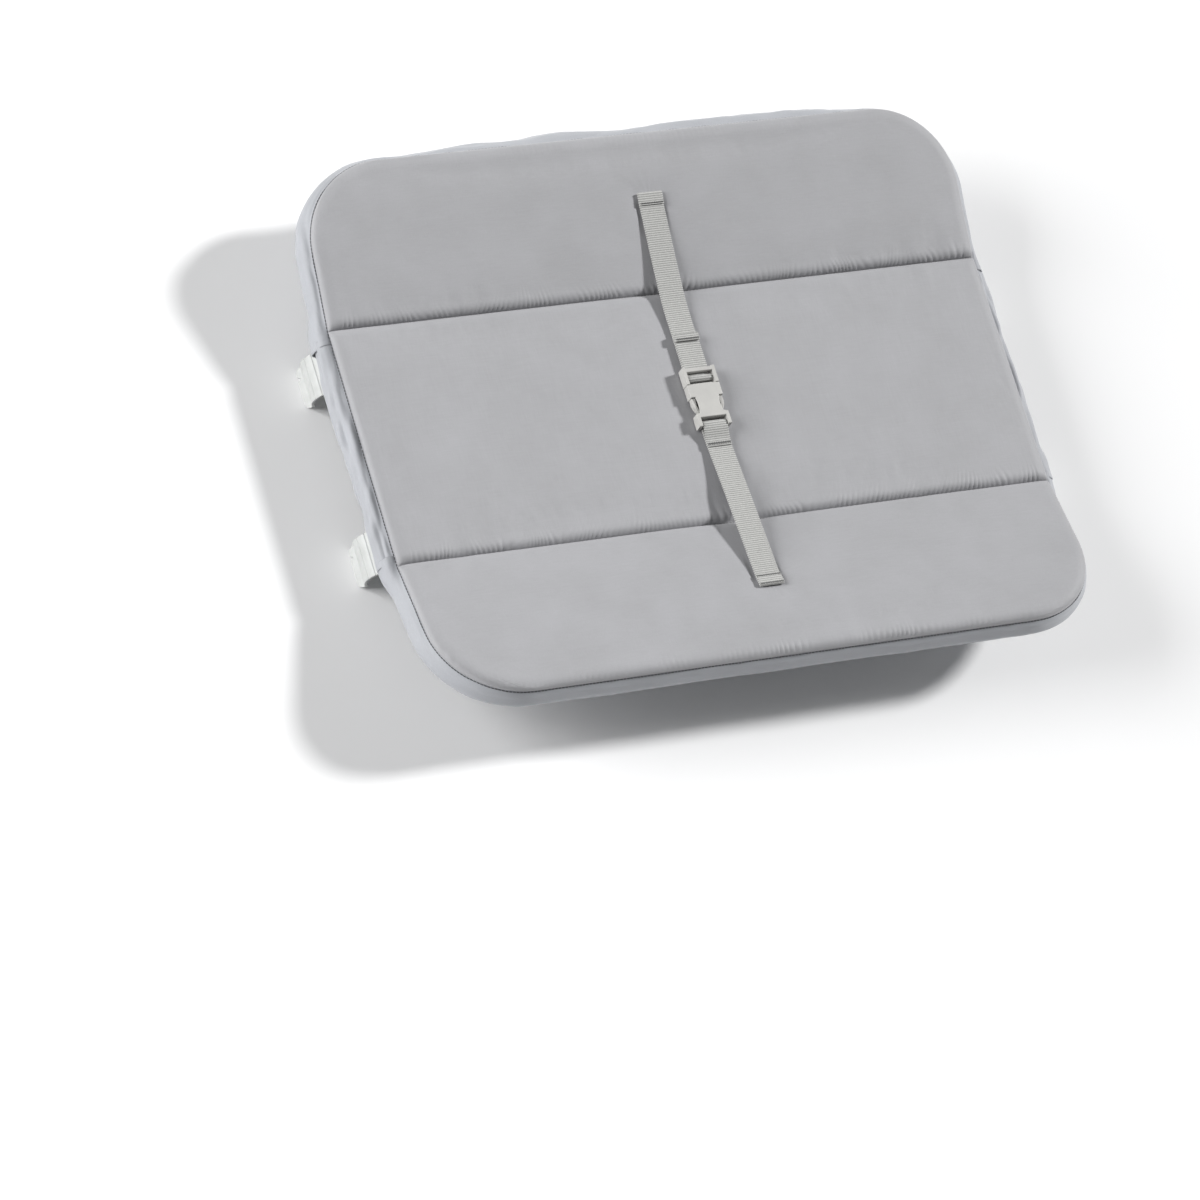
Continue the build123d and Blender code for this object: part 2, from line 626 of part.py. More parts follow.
def buckle_prong(side):
    """A sprung side prong: hinged at the root, caught behind the mouth, pressed from the side."""
    in_w, in_h = mouth_half()
    neck_out = in_w - RUNNING_GAP
    top = MOUTH_Y - ROOT_LENGTH - PRONG_GAP
    catch = CATCH_Y - HOLE_FIT * 3
    tip = WAIST_END_Y + 2 * PRONG_GAP
    belly = neck_out + PRONG_BARB
    middle = (catch + tip) / 2
    points = [
        (neck_out, top),
        (neck_out, catch),
        (belly, catch),
        (belly, catch - PRONG_CATCH_FACE),
    ]
    outer = [Line(points[i], points[i + 1]) for i in range(3)]
    tip_x = belly - PRONG_TIP_INSET
    outer.append(ThreePointArc(points[3], (belly - PRONG_BOW, middle - BAR_RADIUS), (tip_x, tip)))
    inner_tip = (tip_x - PRONG_THICK / 2, tip)
    knee = (belly - PRONG_THICK - PRONG_KNEE, middle)
    inner = [
        Line((tip_x, tip), inner_tip),
        Line(inner_tip, knee),
        Line(knee, (neck_out - PRONG_THICK, top)),
        Line((neck_out - PRONG_THICK, top), (neck_out, top)),
    ]
    arm = extrude(make_face([*outer, *inner]), in_h - RUNNING_GAP, both=True)
    arm = fillet(arm.faces().filter_by(Axis.Z).edges(), MOULD_RADIUS / 2)
    placed = arm if side == 1 else mirror(arm, about=Plane.YZ)
    return buckle_place() * placed


def build_nodes():
    """Every named piece of the pad."""
    nodes = {
        "frame_tube_back": frame_tube(BACK),
        "frame_tube_front": frame_tube(FRONT),
        "frame_spigot_left": frame_spigot(-1),
        "frame_spigot_right": frame_spigot(1),
        "frame_rivets": Compound([place * frame_rivet() for place in rivet_places()]),
        "clip_screws": Compound([place * clip_screw() for place in clip_places().values()]),
        "foam_back": foam_core(BACK),
        "foam_centre": foam_core(0),
        "foam_front": foam_core(FRONT),
        "cover_quilted": quilted_cover(),
        "base_cloth": base_cloth(),
        "edge_sleeve_back": edge_sleeve(BACK),
        "edge_sleeve_front": edge_sleeve(FRONT),
        "edge_skirt_left": edge_skirt(-1),
        "edge_skirt_right": edge_skirt(1),
        "strap_back": strap_back(),
        "strap_front": strap_front(),
        "anchor_stitching": anchor_stitching(),
        "strap_bar_tack": strap_bar_tack(),
        "strap_turn": strap_turn(),
        "strap_tail": strap_tail(),
        "strap_hem": strap_hem(),
        "hem_stitching": hem_stitching(),
        "buckle_socket": buckle_socket(),
        "buckle_plug": buckle_plug(),
        "buckle_prong_left": buckle_prong(-1),
        "buckle_prong_right": buckle_prong(1),
    }
    for name, place in clip_places().items():
        nodes[name] = place * snap_clip()
    return nodes


def main():
    os.makedirs("parts", exist_ok=True)
    for name, shape in build_nodes().items():
        export_step(shape, f"parts/{name}.step")


main()
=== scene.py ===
import math

import bpy
import numpy as np
from mathutils import Matrix, Vector


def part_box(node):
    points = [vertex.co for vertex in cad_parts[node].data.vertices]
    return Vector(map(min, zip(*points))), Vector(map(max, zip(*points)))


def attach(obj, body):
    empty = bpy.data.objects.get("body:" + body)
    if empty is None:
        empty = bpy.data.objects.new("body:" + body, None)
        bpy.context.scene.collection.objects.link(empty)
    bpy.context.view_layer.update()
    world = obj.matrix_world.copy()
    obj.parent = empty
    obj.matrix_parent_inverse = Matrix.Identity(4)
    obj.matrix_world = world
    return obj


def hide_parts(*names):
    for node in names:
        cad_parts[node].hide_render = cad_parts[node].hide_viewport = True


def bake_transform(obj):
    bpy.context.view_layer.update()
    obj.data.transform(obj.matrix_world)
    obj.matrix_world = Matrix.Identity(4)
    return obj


# Looks of the clip-on changing pad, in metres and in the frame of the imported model:
# +X along the pad, +Y across it, +Z up, the floor at 0.

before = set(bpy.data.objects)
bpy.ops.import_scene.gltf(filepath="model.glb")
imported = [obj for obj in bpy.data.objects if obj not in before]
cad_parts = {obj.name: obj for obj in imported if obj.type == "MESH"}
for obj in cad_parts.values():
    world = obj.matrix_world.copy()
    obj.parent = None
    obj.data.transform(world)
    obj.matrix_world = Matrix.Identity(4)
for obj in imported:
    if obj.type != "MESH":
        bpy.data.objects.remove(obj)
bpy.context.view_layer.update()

MM = 0.001

# ---------------------------------------------------------------- sizes and places

COVER_LOW, COVER_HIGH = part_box("cover_quilted")
FOAM_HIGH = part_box("foam_centre")[1]
HALF_LENGTH = COVER_HIGH.x
FOLD_Y = FOAM_HIGH.y + 2.7 * MM
SEAM_Z = COVER_LOW.z + 2.6 * MM
SIDE_WIDTH = 156 * MM
HALF_WIDTH = FOLD_Y + SIDE_WIDTH
CORNER_R = 80 * MM
TILT = math.radians(13.4)
FOLD_SOFT = 5 * MM

PUFF = 8.0 * MM
BORDER_ROLL = 12.5 * MM
SEAM_ROLL = 10 * MM
QUILT_LOW = -2.4 * MM
UNDER_LEVEL = -3.3 * MM
UNDER_THICK = 0.8 * MM

# The quilt's grid: close together beside a seam, and coarser in its lower face and its simulation
EDGE_STEPS = np.array([0, 0.4, 1.1, 2.2, 3.7, 5.6, 8.0, 10.6]) * MM
CORNER_ROWS = 34
FINE_STEP = 1.05 * MM
ROW_STEP = 2.6 * MM
UNDER_SKIP = 8
SIM_SKIP_COLS, SIM_SKIP_ROWS = 4, 2

# The simulation that fills the quilt out: its start height, how far a point may go, how much of that
# is kept, and how far from a seam or the border it is calm
SIM_FRAMES = 20
SIM_START = 0.92
SIM_CAP = 1.6 * MM
SIM_SHARE = 0.7
SIM_CALM = 50 * MM

# Pitch of the gathers beside the quilt seams, along the border and in the edge cloth
SEAM_GATHER = 5.2 * MM
BORDER_GATHER = 5.6 * MM
EDGE_GATHER = 5.5 * MM

# The frame's tube, and the edge cloth round it, which ends at an angle in degrees round the tube
TUBE_R = 8 * MM
TUBE_INSET = 2.5 * MM
LONG_EDGE_INSET = 8 * MM
TUBE_DEPTH = SEAM_Z - 43 * MM
SKIRT_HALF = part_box("edge_skirt_left")[1].y
EDGE_CLOTH = 0.8 * MM
TUBE_CLEARANCE = 1.3 * MM
CLIP_BARREL_R = 11.1 * MM
LAP = 7 * MM
POCKET_END, BAND_END = -205, -42

# Strap and buckle: the anchors are measured out from the folds, and the other places are on Y
STRAP_LOW, STRAP_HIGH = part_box("strap_tail")
STRAP_X = (STRAP_LOW.x + STRAP_HIGH.x) / 2
WEB_WIDTH = STRAP_HIGH.x - STRAP_LOW.x
WEB_THICK = 1.3 * MM
RIB_PITCH = 2.15 * MM
RIB_DEPTH = 0.2 * MM
TURN_R = 2.9 * MM
BACK_ANCHOR = 90 * MM
FRONT_ANCHOR = 76 * MM
TAB_LENGTH = 12 * MM
WEB_HEIGHT = PUFF + 0.9 * MM
BACK_LEVEL_Y, BACK_RISE_Y, BACK_RISE = 101 * MM, 141 * MM, 6.2 * MM
TACK_FROM_BAR, LOOP_END = 16 * MM, 6.2 * MM
BUCKLE_FRONT_Y, BUCKLE_BACK_Y = -62 * MM, 98 * MM
WEB_COLUMNS, WEB_BEADS = 32, 16
RIB_POINTS = 5

STITCH_PITCH = 3.4 * MM
STITCH_SIDES = 6
BAR_STITCHES = 26

BACK, FRONT = 1, -1
ANCHORS = ((BACK, BACK_ANCHOR), (FRONT, FRONT_ANCHOR))


# ---------------------------------------------------------------- numbers

def smooth(t):
    """0 to 1 with soft ends."""
    t = np.clip(t, 0, 1)
    return t * t * (3 - 2 * t)


def soft_noise(x, y, seed):
    """Smooth noise from -1 to 1, about one bump per unit, the same in each run."""
    size = 64
    table = np.random.default_rng(seed).uniform(-1, 1, (size, size))
    x, y = np.broadcast_arrays(np.asarray(x, float), np.asarray(y, float))
    x0, y0 = np.floor(x).astype(int), np.floor(y).astype(int)
    fx, fy = smooth(x - x0), smooth(y - y0)
    a, b, c, d = x0 % size, (x0 + 1) % size, y0 % size, (y0 + 1) % size
    low = table[a, c] * (1 - fx) + table[b, c] * fx
    high = table[a, d] * (1 - fx) + table[b, d] * fx
    return low * (1 - fy) + high * fy


def gone_along(points):
    """How far each point of a line is along it."""
    return np.concatenate([[0], np.cumsum(np.linalg.norm(np.diff(points, axis=0), axis=1))])


def fold_table():
    """The seam plane's section across the pad: places with the folds undone, then tilt, Y and height."""
    v = np.linspace(0, HALF_WIDTH + 10 * MM, 3000)
    angle = TILT * smooth((v - FOLD_Y) / (2 * FOLD_SOFT) + 0.5)
    step = v[1] - v[0]
    y = np.concatenate([[0], np.cumsum(np.cos(angle[:-1]) * step)])
    z = np.concatenate([[0], np.cumsum(np.sin(angle[:-1]) * step)])
    return v, angle, y, z


TABLE_V, TABLE_ANGLE, TABLE_Y, TABLE_Z = fold_table()


def pad_points(u, v, h):
    """Places on the pad: u along it, v across it with its folds undone, h off the seam plane."""
    u, v, h = np.broadcast_arrays(np.asarray(u, float), np.asarray(v, float), np.asarray(h, float))
    far = np.abs(v)
    angle = np.interp(far, TABLE_V, TABLE_ANGLE)
    y = np.interp(far, TABLE_V, TABLE_Y) - h * np.sin(angle)
    z = np.interp(far, TABLE_V, TABLE_Z) + h * np.cos(angle)
    return np.stack([u, np.where(v < 0, -y, y), SEAM_Z + z], -1)


def pad_frame(v, side_u, side_v):
    """Directions at a place on the outline: outwards in the panel's plane, and off its face."""
    angle = np.interp(np.abs(v), TABLE_V, TABLE_ANGLE) * np.sign(v)
    zero = np.zeros_like(angle)
    across = np.stack([zero, np.cos(angle), np.sin(angle)], -1)
    along = np.stack([zero + 1, zero, zero], -1)
    outward = along * side_u[:, None] + across * side_v[:, None]
    normal = np.stack([zero, -np.sin(angle), np.cos(angle)], -1)
    return outward, normal


def half_length(v):
    """Half the pad's length at each place across it: full, then round the corners."""
    over = np.clip(np.abs(v) - (HALF_WIDTH - CORNER_R), 0, CORNER_R)
    return HALF_LENGTH - CORNER_R + np.sqrt(CORNER_R**2 - over**2)


def border_distance(u, v):
    """How far a place is inside the pad's outline."""
    qx, qy = np.abs(u) - (HALF_LENGTH - CORNER_R), np.abs(v) - (HALF_WIDTH - CORNER_R)
    outside = np.hypot(np.maximum(qx, 0), np.maximum(qy, 0))
    return CORNER_R - outside - np.minimum(np.maximum(qx, qy), 0)


def seam_distance(v):
    """How far a place is from the nearer quilt seam."""
    return np.minimum(np.abs(v - FOLD_Y), np.abs(v + FOLD_Y))


def rolled(distance, radius):
    """Height share of a rounded edge: 0 at the edge, 1 from radius inwards."""
    t = np.clip(1 - distance / radius, 0, 1)
    return np.sqrt(1 - t**2.15)


# ---------------------------------------------------------------- meshes

def mesh_object(name, points, faces):
    """A smooth-shaded mesh in the scene."""
    mesh = bpy.data.meshes.new(name)
    mesh.from_pydata(np.asarray(points).reshape(-1, 3).tolist(), [], faces)
    mesh.polygons.foreach_set("use_smooth", [True] * len(mesh.polygons))
    mesh.update()
    made = bpy.data.objects.new(name, mesh)
    bpy.context.scene.collection.objects.link(made)
    return made


def grid_faces(rows, cols, wrap=False):
    """Quads of a grid of points, its columns joined into a ring if it wraps."""
    index = np.arange(rows * cols).reshape(rows, cols)
    if wrap:
        index = np.concatenate([index, index[:, :1]], 1)
    quads = np.stack([index[:-1, :-1], index[:-1, 1:], index[1:, 1:], index[1:, :-1]], -1)
    return quads.reshape(-1, 4).tolist()


def spread(length, step):
    """Places from 0 to length, close together near both ends."""
    inner = length - 2 * EDGE_STEPS[-1]
    count = max(1, round(inner / step))
    middle = EDGE_STEPS[-1] + inner * np.arange(1, count) / count
    return np.concatenate([EDGE_STEPS, middle, length - EDGE_STEPS[::-1]])


def rows_across(step):
    """Places across the pad with its folds undone, from the front edge to the back one."""
    centre = spread(2 * FOLD_Y, step) - FOLD_Y
    straight = SIDE_WIDTH - CORNER_R
    count = round((straight - EDGE_STEPS[-1]) / step)
    outer = EDGE_STEPS[-1] + (straight - EDGE_STEPS[-1]) * np.arange(1, count + 1) / count
    corner = straight + CORNER_R * np.sin(np.linspace(0, math.pi / 2, CORNER_ROWS + 1)[1:])
    back = FOLD_Y + np.concatenate([EDGE_STEPS[1:], outer, corner])
    return np.concatenate([-back[::-1], centre, back])


def pad_grid(col_step, row_step):
    """Places u, v of a grid whose border is the pad's outline, its columns a multiple of UNDER_SKIP."""
    v = rows_across(row_step)
    share = spread(2 * HALF_LENGTH, col_step) / HALF_LENGTH - 1
    while (len(share) - 1) % UNDER_SKIP:
        col_step *= 0.999
        share = spread(2 * HALF_LENGTH, col_step) / HALF_LENGTH - 1
    return np.outer(half_length(v), share), np.repeat(v[:, None], len(share), 1)


# ---------------------------------------------------------------- the quilt

def settle(points, pinned):
    """Cloth filled out by light pressure and held at its pinned points."""
    rows, cols = points.shape[:2]
    trial = mesh_object("settling", points, grid_faces(rows, cols))
    group = trial.vertex_groups.new(name="pinned")
    group.add(np.flatnonzero(pinned.ravel()).tolist(), 1.0, "REPLACE")
    cloth = trial.modifiers.new("Cloth", "CLOTH")
    settings = cloth.settings
    settings.vertex_group_mass = "pinned"
    settings.quality = 6
    settings.tension_stiffness = 12
    settings.compression_stiffness = 12
    settings.shear_stiffness = 4
    settings.bending_stiffness = 0.2
    settings.shrink_min = -0.006
    settings.use_pressure = True
    settings.uniform_pressure_force = 4
    settings.effector_weights.gravity = 0
    cloth.collision_settings.use_collision = False
    for number in range(1, SIM_FRAMES + 1):
        bpy.context.scene.frame_set(number)
    shown = trial.evaluated_get(bpy.context.evaluated_depsgraph_get())
    moved = np.zeros(rows * cols * 3, np.float32)
    shown.data.vertices.foreach_get("co", moved)
    bpy.context.scene.frame_set(1)
    bpy.data.objects.remove(trial)
    return moved.reshape(rows, cols, 3).astype(float)


def finer(values, places, wanted):
    """Values along the first axis, carried by smooth curves from their places to the wanted ones."""
    slope = np.gradient(values, places, axis=0)
    at = np.clip(np.searchsorted(places, wanted, side="right") - 1, 0, len(places) - 2)
    gap = (places[at + 1] - places[at])[:, None, None]
    t = ((wanted - places[at]) / (places[at + 1] - places[at]))[:, None, None]
    a, b = values[at], values[at + 1]
    da, db = slope[at] * gap, slope[at + 1] * gap
    return (
        a * (1 + 2 * t) * (1 - t) ** 2
        + da * t * (1 - t) ** 2
        + b * t * t * (3 - 2 * t)
        + db * t * t * (t - 1)
    )


def gathers(phase):
    """Waves with rounded crests and narrow grooves between them, from -1 to 1."""
    return 2 * np.abs(np.sin(math.pi * phase)) ** 0.8 - 1


def puckers(u, v):
    """Small gathers beside the quilt seams and along the border."""
    made = np.zeros_like(u)
    for number, seam in enumerate((FOLD_Y, -FOLD_Y)):
        off = v - seam
        drift = 1.1 * soft_noise(u / (23 * MM), 0 * u, 11 + number)
        lean = 0.14 * soft_noise(u / (31 * MM), 0 * u, 15 + number) * off / MM
        wave = gathers(u / SEAM_GATHER + drift + lean)
        right = smooth(u / HALF_LENGTH)
        strength = 0.75 + 0.55 * soft_noise(u / (15 * MM), 0 * u, 21 + number) + 0.3 * right
        strength = np.clip(strength, 0, 1.6)
        vary = 1 + 0.45 * soft_noise(u / (8 * MM), 0 * u, 31 + number)
        reach = np.where(off > 0, 8.0, 4.5) * MM * vary
        depth = np.where(off > 0, 0.70, 0.20) * MM
        near = np.exp(-((np.abs(off) / reach) ** 1.8)) * smooth(np.abs(off) / (1.2 * MM))
        made += depth * strength * near * wave
    inside = np.maximum(border_distance(u, v), 0)
    corner_u, corner_v = HALF_LENGTH - CORNER_R, HALF_WIDTH - CORNER_R
    front = smooth((-v - corner_v) / (40 * MM))
    back = smooth((v - corner_v) / (40 * MM))
    side = smooth((np.abs(u) - corner_u) / (60 * MM)) * (1 - front) * (1 - back)
    along = np.where(front + back > side, u, v)
    depth = (0.8 * front + 0.35 * back + 0.22 * side) * MM
    wave = gathers(along / BORDER_GATHER + soft_noise(along / (26 * MM), v / 0.2, 41))
    strength = np.clip(0.6 + 0.8 * soft_noise(along / (30 * MM), v / 0.3, 42), 0, 1.3)
    reach = (8 + 2.5 * soft_noise(along / (9 * MM), v / 0.3, 43)) * MM
    near = np.exp(-((inside / reach) ** 1.8)) * smooth(inside / (1.5 * MM))
    return made + depth * strength * near * wave


def soft_folds(u, v):
    """Wide, shallow undulation of the cloth over its wadding, and creases running off the seams."""
    made = 0.5 * soft_noise(u / (85 * MM), v / (70 * MM), 54)
    for number, seam in enumerate((FOLD_Y, -FOLD_Y, -HALF_WIDTH)):
        off = v - seam
        crease = soft_noise(u / (13 * MM) + off / (75 * MM), off / (140 * MM), 51 + number)
        crease += 0.5 * soft_noise(u / (7.5 * MM) - off / (60 * MM), off / (90 * MM), 61 + number)
        where = smooth(1.3 * soft_noise(u / (70 * MM), off / (300 * MM), 71 + number) + 0.25)
        reach = (26 + 14 * soft_noise(u / (22 * MM), 0 * u, 81 + number)) * MM
        made = made + 0.62 * crease * where * np.exp(-((np.abs(off) / reach) ** 1.5))
    return made * MM


def strap_dents(u, v):
    """Where the strap's sewn ends pull the quilt down, and the shallow valley along the strap."""
    aside = np.abs(u - STRAP_X)
    reach = smooth((FOLD_Y + BACK_ANCHOR + 40 * MM - v) / (80 * MM))
    reach *= smooth((v + FOLD_Y + FRONT_ANCHOR + 40 * MM) / (80 * MM))
    made = -2.1 * MM * reach * np.exp(-((aside / (42 * MM)) ** 2))
    for side, anchor in ANCHORS:
        dv = v - side * (FOLD_Y + anchor)
        du_out = np.maximum(aside - WEB_WIDTH / 2, 0)
        dv_out = np.maximum(np.abs(dv) - TAB_LENGTH / 2, 0)
        away = np.hypot(du_out, dv_out)
        angle = np.arctan2(dv, u - STRAP_X)
        crease = 0.30 * np.cos(angle * 15) * smooth(away / (2 * MM)) * np.exp(-away / (8 * MM))
        made -= (1.0 * np.exp(-((away / (8 * MM)) ** 1.4)) + crease) * MM
        inward = -side * dv - TAB_LENGTH / 2
        trench = smooth((WEB_WIDTH / 2 + 4 * MM - aside) / (4 * MM))
        trench *= smooth((inward + 4 * MM) / (4 * MM)) * smooth((34 * MM - inward) / (26 * MM))
        made -= 0.9 * MM * trench
    return made


def quilt_height(u, v):
    """Height of the quilt's upper face off the seam plane, before it settles."""
    return PUFF * rolled(border_distance(u, v), BORDER_ROLL) * rolled(seam_distance(v), SEAM_ROLL)


def settled_cloth(u, v):
    """How far each point of the quilt's upper face moves as light pressure fills it out."""
    rows, cols = u.shape
    seams = [int(np.argmin(np.abs(v[:, 0] - s))) for s in (-FOLD_Y, FOLD_Y)]
    pick_r = np.unique(np.concatenate([np.arange(0, rows, SIM_SKIP_ROWS), seams, [rows - 1]]))
    pick_c = np.unique(np.append(np.arange(0, cols, SIM_SKIP_COLS), cols - 1))
    cu, cv = u[np.ix_(pick_r, pick_c)], v[np.ix_(pick_r, pick_c)]
    start = pad_points(cu, cv, quilt_height(cu, cv) * SIM_START)
    pinned = np.zeros(cu.shape, bool)
    pinned[[0, -1]] = True
    pinned[:, [0, -1]] = True
    pinned[np.isin(pick_r, seams)] = True
    moved = settle(start, pinned) - pad_points(cu, cv, quilt_height(cu, cv))
    length = np.linalg.norm(moved, axis=-1, keepdims=True)
    moved *= np.minimum(1, SIM_CAP / np.maximum(length, 1e-9))
    moved[pinned] = 0
    settled = finer(moved, pick_r.astype(float), np.arange(rows, dtype=float)).transpose(1, 0, 2)
    settled = finer(settled, pick_c.astype(float), np.arange(cols, dtype=float)).transpose(1, 0, 2)
    calm = smooth(border_distance(u, v) / SIM_CALM) * smooth(seam_distance(v) / SIM_CALM)
    return settled * (SIM_SHARE * calm[..., None])


def quilt_surface():
    """The quilt's upper face as a grid of points, and its u and v."""
    u, v = pad_grid(FINE_STEP, ROW_STEP)
    inside, from_seam = border_distance(u, v), seam_distance(v)
    detail = puckers(u, v) + strap_dents(u, v)
    detail += soft_folds(u, v) * rolled(inside, BORDER_ROLL * 1.6) * rolled(from_seam, SEAM_ROLL)
    sewn = 1e-6
    detail[(inside < sewn) | (from_seam < sewn)] = 0
    points = pad_points(u, v, quilt_height(u, v) + detail)
    points += settled_cloth(u, v)
    return points, u, v


def quilt(points, u, v):
    """The quilted pad: the puffed upper face, kept low under the buckle, closed by a flat lower one."""
    under_buckle = smooth((24 * MM - np.abs(u - STRAP_X)) / (10 * MM))
    under_buckle *= smooth((v - BUCKLE_FRONT_Y) / (16 * MM)) * smooth((BUCKLE_BACK_Y - v) / (16 * MM))
    ceiling = SEAM_Z + PUFF - 0.6 * MM
    points[..., 2] += np.minimum(ceiling - points[..., 2], 0) * under_buckle
    rows, cols = u.shape
    top = np.arange(rows * cols).reshape(rows, cols)
    cut = np.arange(0, cols, UNDER_SKIP)
    under = np.full((rows, len(cut)), -1)
    under[:, 0], under[:, -1] = top[:, 0], top[:, -1]
    under[0], under[-1] = top[0, cut], top[-1, cut]
    new = under < 0
    under[new] = rows * cols + np.arange(new.sum())
    lu, lv = u[:, cut][new], v[:, cut][new]
    sink = QUILT_LOW * rolled(border_distance(lu, lv), 5 * MM)
    low_points = pad_points(lu, lv, sink)
    faces = grid_faces(rows, cols)
    inner = under[1:-1]
    quads = np.stack([inner[:-1, :-1], inner[1:, :-1], inner[1:, 1:], inner[:-1, 1:]], -1)
    faces += quads.reshape(-1, 4).tolist()
    for k in range(len(cut) - 1):
        span = slice(cut[k], cut[k + 1] + 1)
        faces.append([*top[0, span][::-1].tolist(), int(under[1, k]), int(under[1, k + 1])])
        faces.append([*top[-1, span].tolist(), int(under[-2, k + 1]), int(under[-2, k])])
    made = mesh_object("quilt", np.concatenate([points.reshape(-1, 3), low_points]), faces)
    stands_for = ("cover_quilted", "foam_back", "foam_centre", "foam_front")
    finish_piece(made, "pad", "pad_cloth", PAD_CLOTH, *stands_for)


def under_cloth():
    """The cloth under the quilt, stretched over the frame, with slack drawn towards its folds."""
    u, v = pad_grid(5 * MM, 6 * MM)
    rows, cols = u.shape
    slack = smooth(border_distance(u, v) / (30 * MM))
    ripple = 0.35 * soft_noise(u / (30 * MM), v / (60 * MM), 61)
    ripple += 0.2 * soft_noise(u / (9 * MM), v / (25 * MM), 62)
    level = UNDER_LEVEL + ripple * MM * slack
    level -= 0.9 * MM * slack
    drawn_in = 0.997
    high = pad_points(u * drawn_in, v * drawn_in, level + UNDER_THICK / 2)
    low = pad_points(u * drawn_in, v * drawn_in, level - UNDER_THICK / 2)
    count = rows * cols
    faces = grid_faces(rows, cols)
    faces += [[i + count for i in reversed(f)] for f in grid_faces(rows, cols)]
    index = np.arange(count).reshape(rows, cols)
    rim = [int(i) for i in (*index[0], *index[1:, -1], *index[-1, -2::-1], *index[-2:0:-1, 0])]
    for a, b in zip(rim, rim[1:] + rim[:1]):
        faces.append([b, a, a + count, b + count])
    points = np.concatenate([high.reshape(-1, 3), low.reshape(-1, 3)])
    made = mesh_object("under_cloth_sheet", points, faces)
    finish_piece(made, "pad", "under_cloth", UNDER_CLOTH, "base_cloth")


# ---------------------------------------------------------------- the edge cloth

HALF_SIDE = HALF_WIDTH - CORNER_R
CORNER_ARC = CORNER_R * math.pi / 2
OUTLINE_STOPS = np.cumsum([HALF_SIDE, CORNER_ARC, 2 * (HALF_LENGTH - CORNER_R), CORNER_ARC, HALF_SIDE])
OUTLINE = OUTLINE_STOPS[-1]


def outline_run(first, last, step):
    """Lengths from the middle of the left side, with the places and outward directions there.

    It runs down the left side to the front corner, along the front, and up the right side."""
    stops = OUTLINE_STOPS
    s = np.linspace(first, last, max(2, round((last - first) / step)))
    u, v, side_u, side_v = (np.zeros_like(s) for _ in range(4))
    for i, length in enumerate(s):
        if length <= stops[0]:
            u[i], v[i], side_u[i] = -HALF_LENGTH, -length, -1
        elif length <= stops[1]:
            turn = (length - stops[0]) / CORNER_R
            side_u[i], side_v[i] = -math.cos(turn), -math.sin(turn)
            u[i] = -(HALF_LENGTH - CORNER_R) + CORNER_R * side_u[i]
            v[i] = -HALF_SIDE + CORNER_R * side_v[i]
        elif length <= stops[2]:
            u[i] = -(HALF_LENGTH - CORNER_R) + length - stops[1]
            v[i], side_v[i] = -HALF_WIDTH, -1
        elif length <= stops[3]:
            turn = (length - stops[2]) / CORNER_R
            side_u[i], side_v[i] = math.sin(turn), -math.cos(turn)
            u[i] = HALF_LENGTH - CORNER_R + CORNER_R * side_u[i]
            v[i] = -HALF_SIDE + CORNER_R * side_v[i]
        else:
            u[i], v[i], side_u[i] = HALF_LENGTH, -HALF_SIDE + length - stops[3], 1
    return s, u, v, side_u, side_v


def wrap_section(inset, radius, low_angle, count):
    """Cloth from under the quilt's seam, tangent down to the tube and round it.

    Returns places outwards and up from the seam point, and how far each is along the cloth."""
    centre = np.array([-inset, -TUBE_DEPTH])
    start = np.array([-0.3 * MM, -2.9 * MM])
    reach = start - centre
    far = math.hypot(*reach)
    touch = math.atan2(reach[1], reach[0]) - math.acos(min(1, radius / far))
    angle = np.linspace(touch, math.radians(low_angle), count)
    arc = centre + radius * np.stack([np.cos(angle), np.sin(angle)], -1)
    lead = start + (arc[0] - start) * np.linspace(0, 1, 8)[:-1, None]
    points = [np.array([(-2.6 * MM, -1.0 * MM), (-1.2 * MM, -1.5 * MM)]), lead, arc]
    if low_angle < -180:
        home = np.array([-inset - radius * 0.9, UNDER_LEVEL - 1.2 * MM])
        points.append(arc[-1] + (home - arc[-1]) * np.linspace(0, 1, 6)[1:, None])
    section = np.concatenate(points)
    return section, gone_along(section)


def near_clips(length):
    """1 where a pocket ends at the clips, and 0 further along it."""
    gone = min(length, OUTLINE - length) - (SKIRT_HALF - LAP)
    return 1 - float(smooth(gone / (38 * MM)))


def thicken(piece):
    """Gives a piece of edge cloth its thickness, inwards."""
    solid = piece.modifiers.new("Thickness", "SOLIDIFY")
    solid.thickness = EDGE_CLOTH
    solid.offset = -1


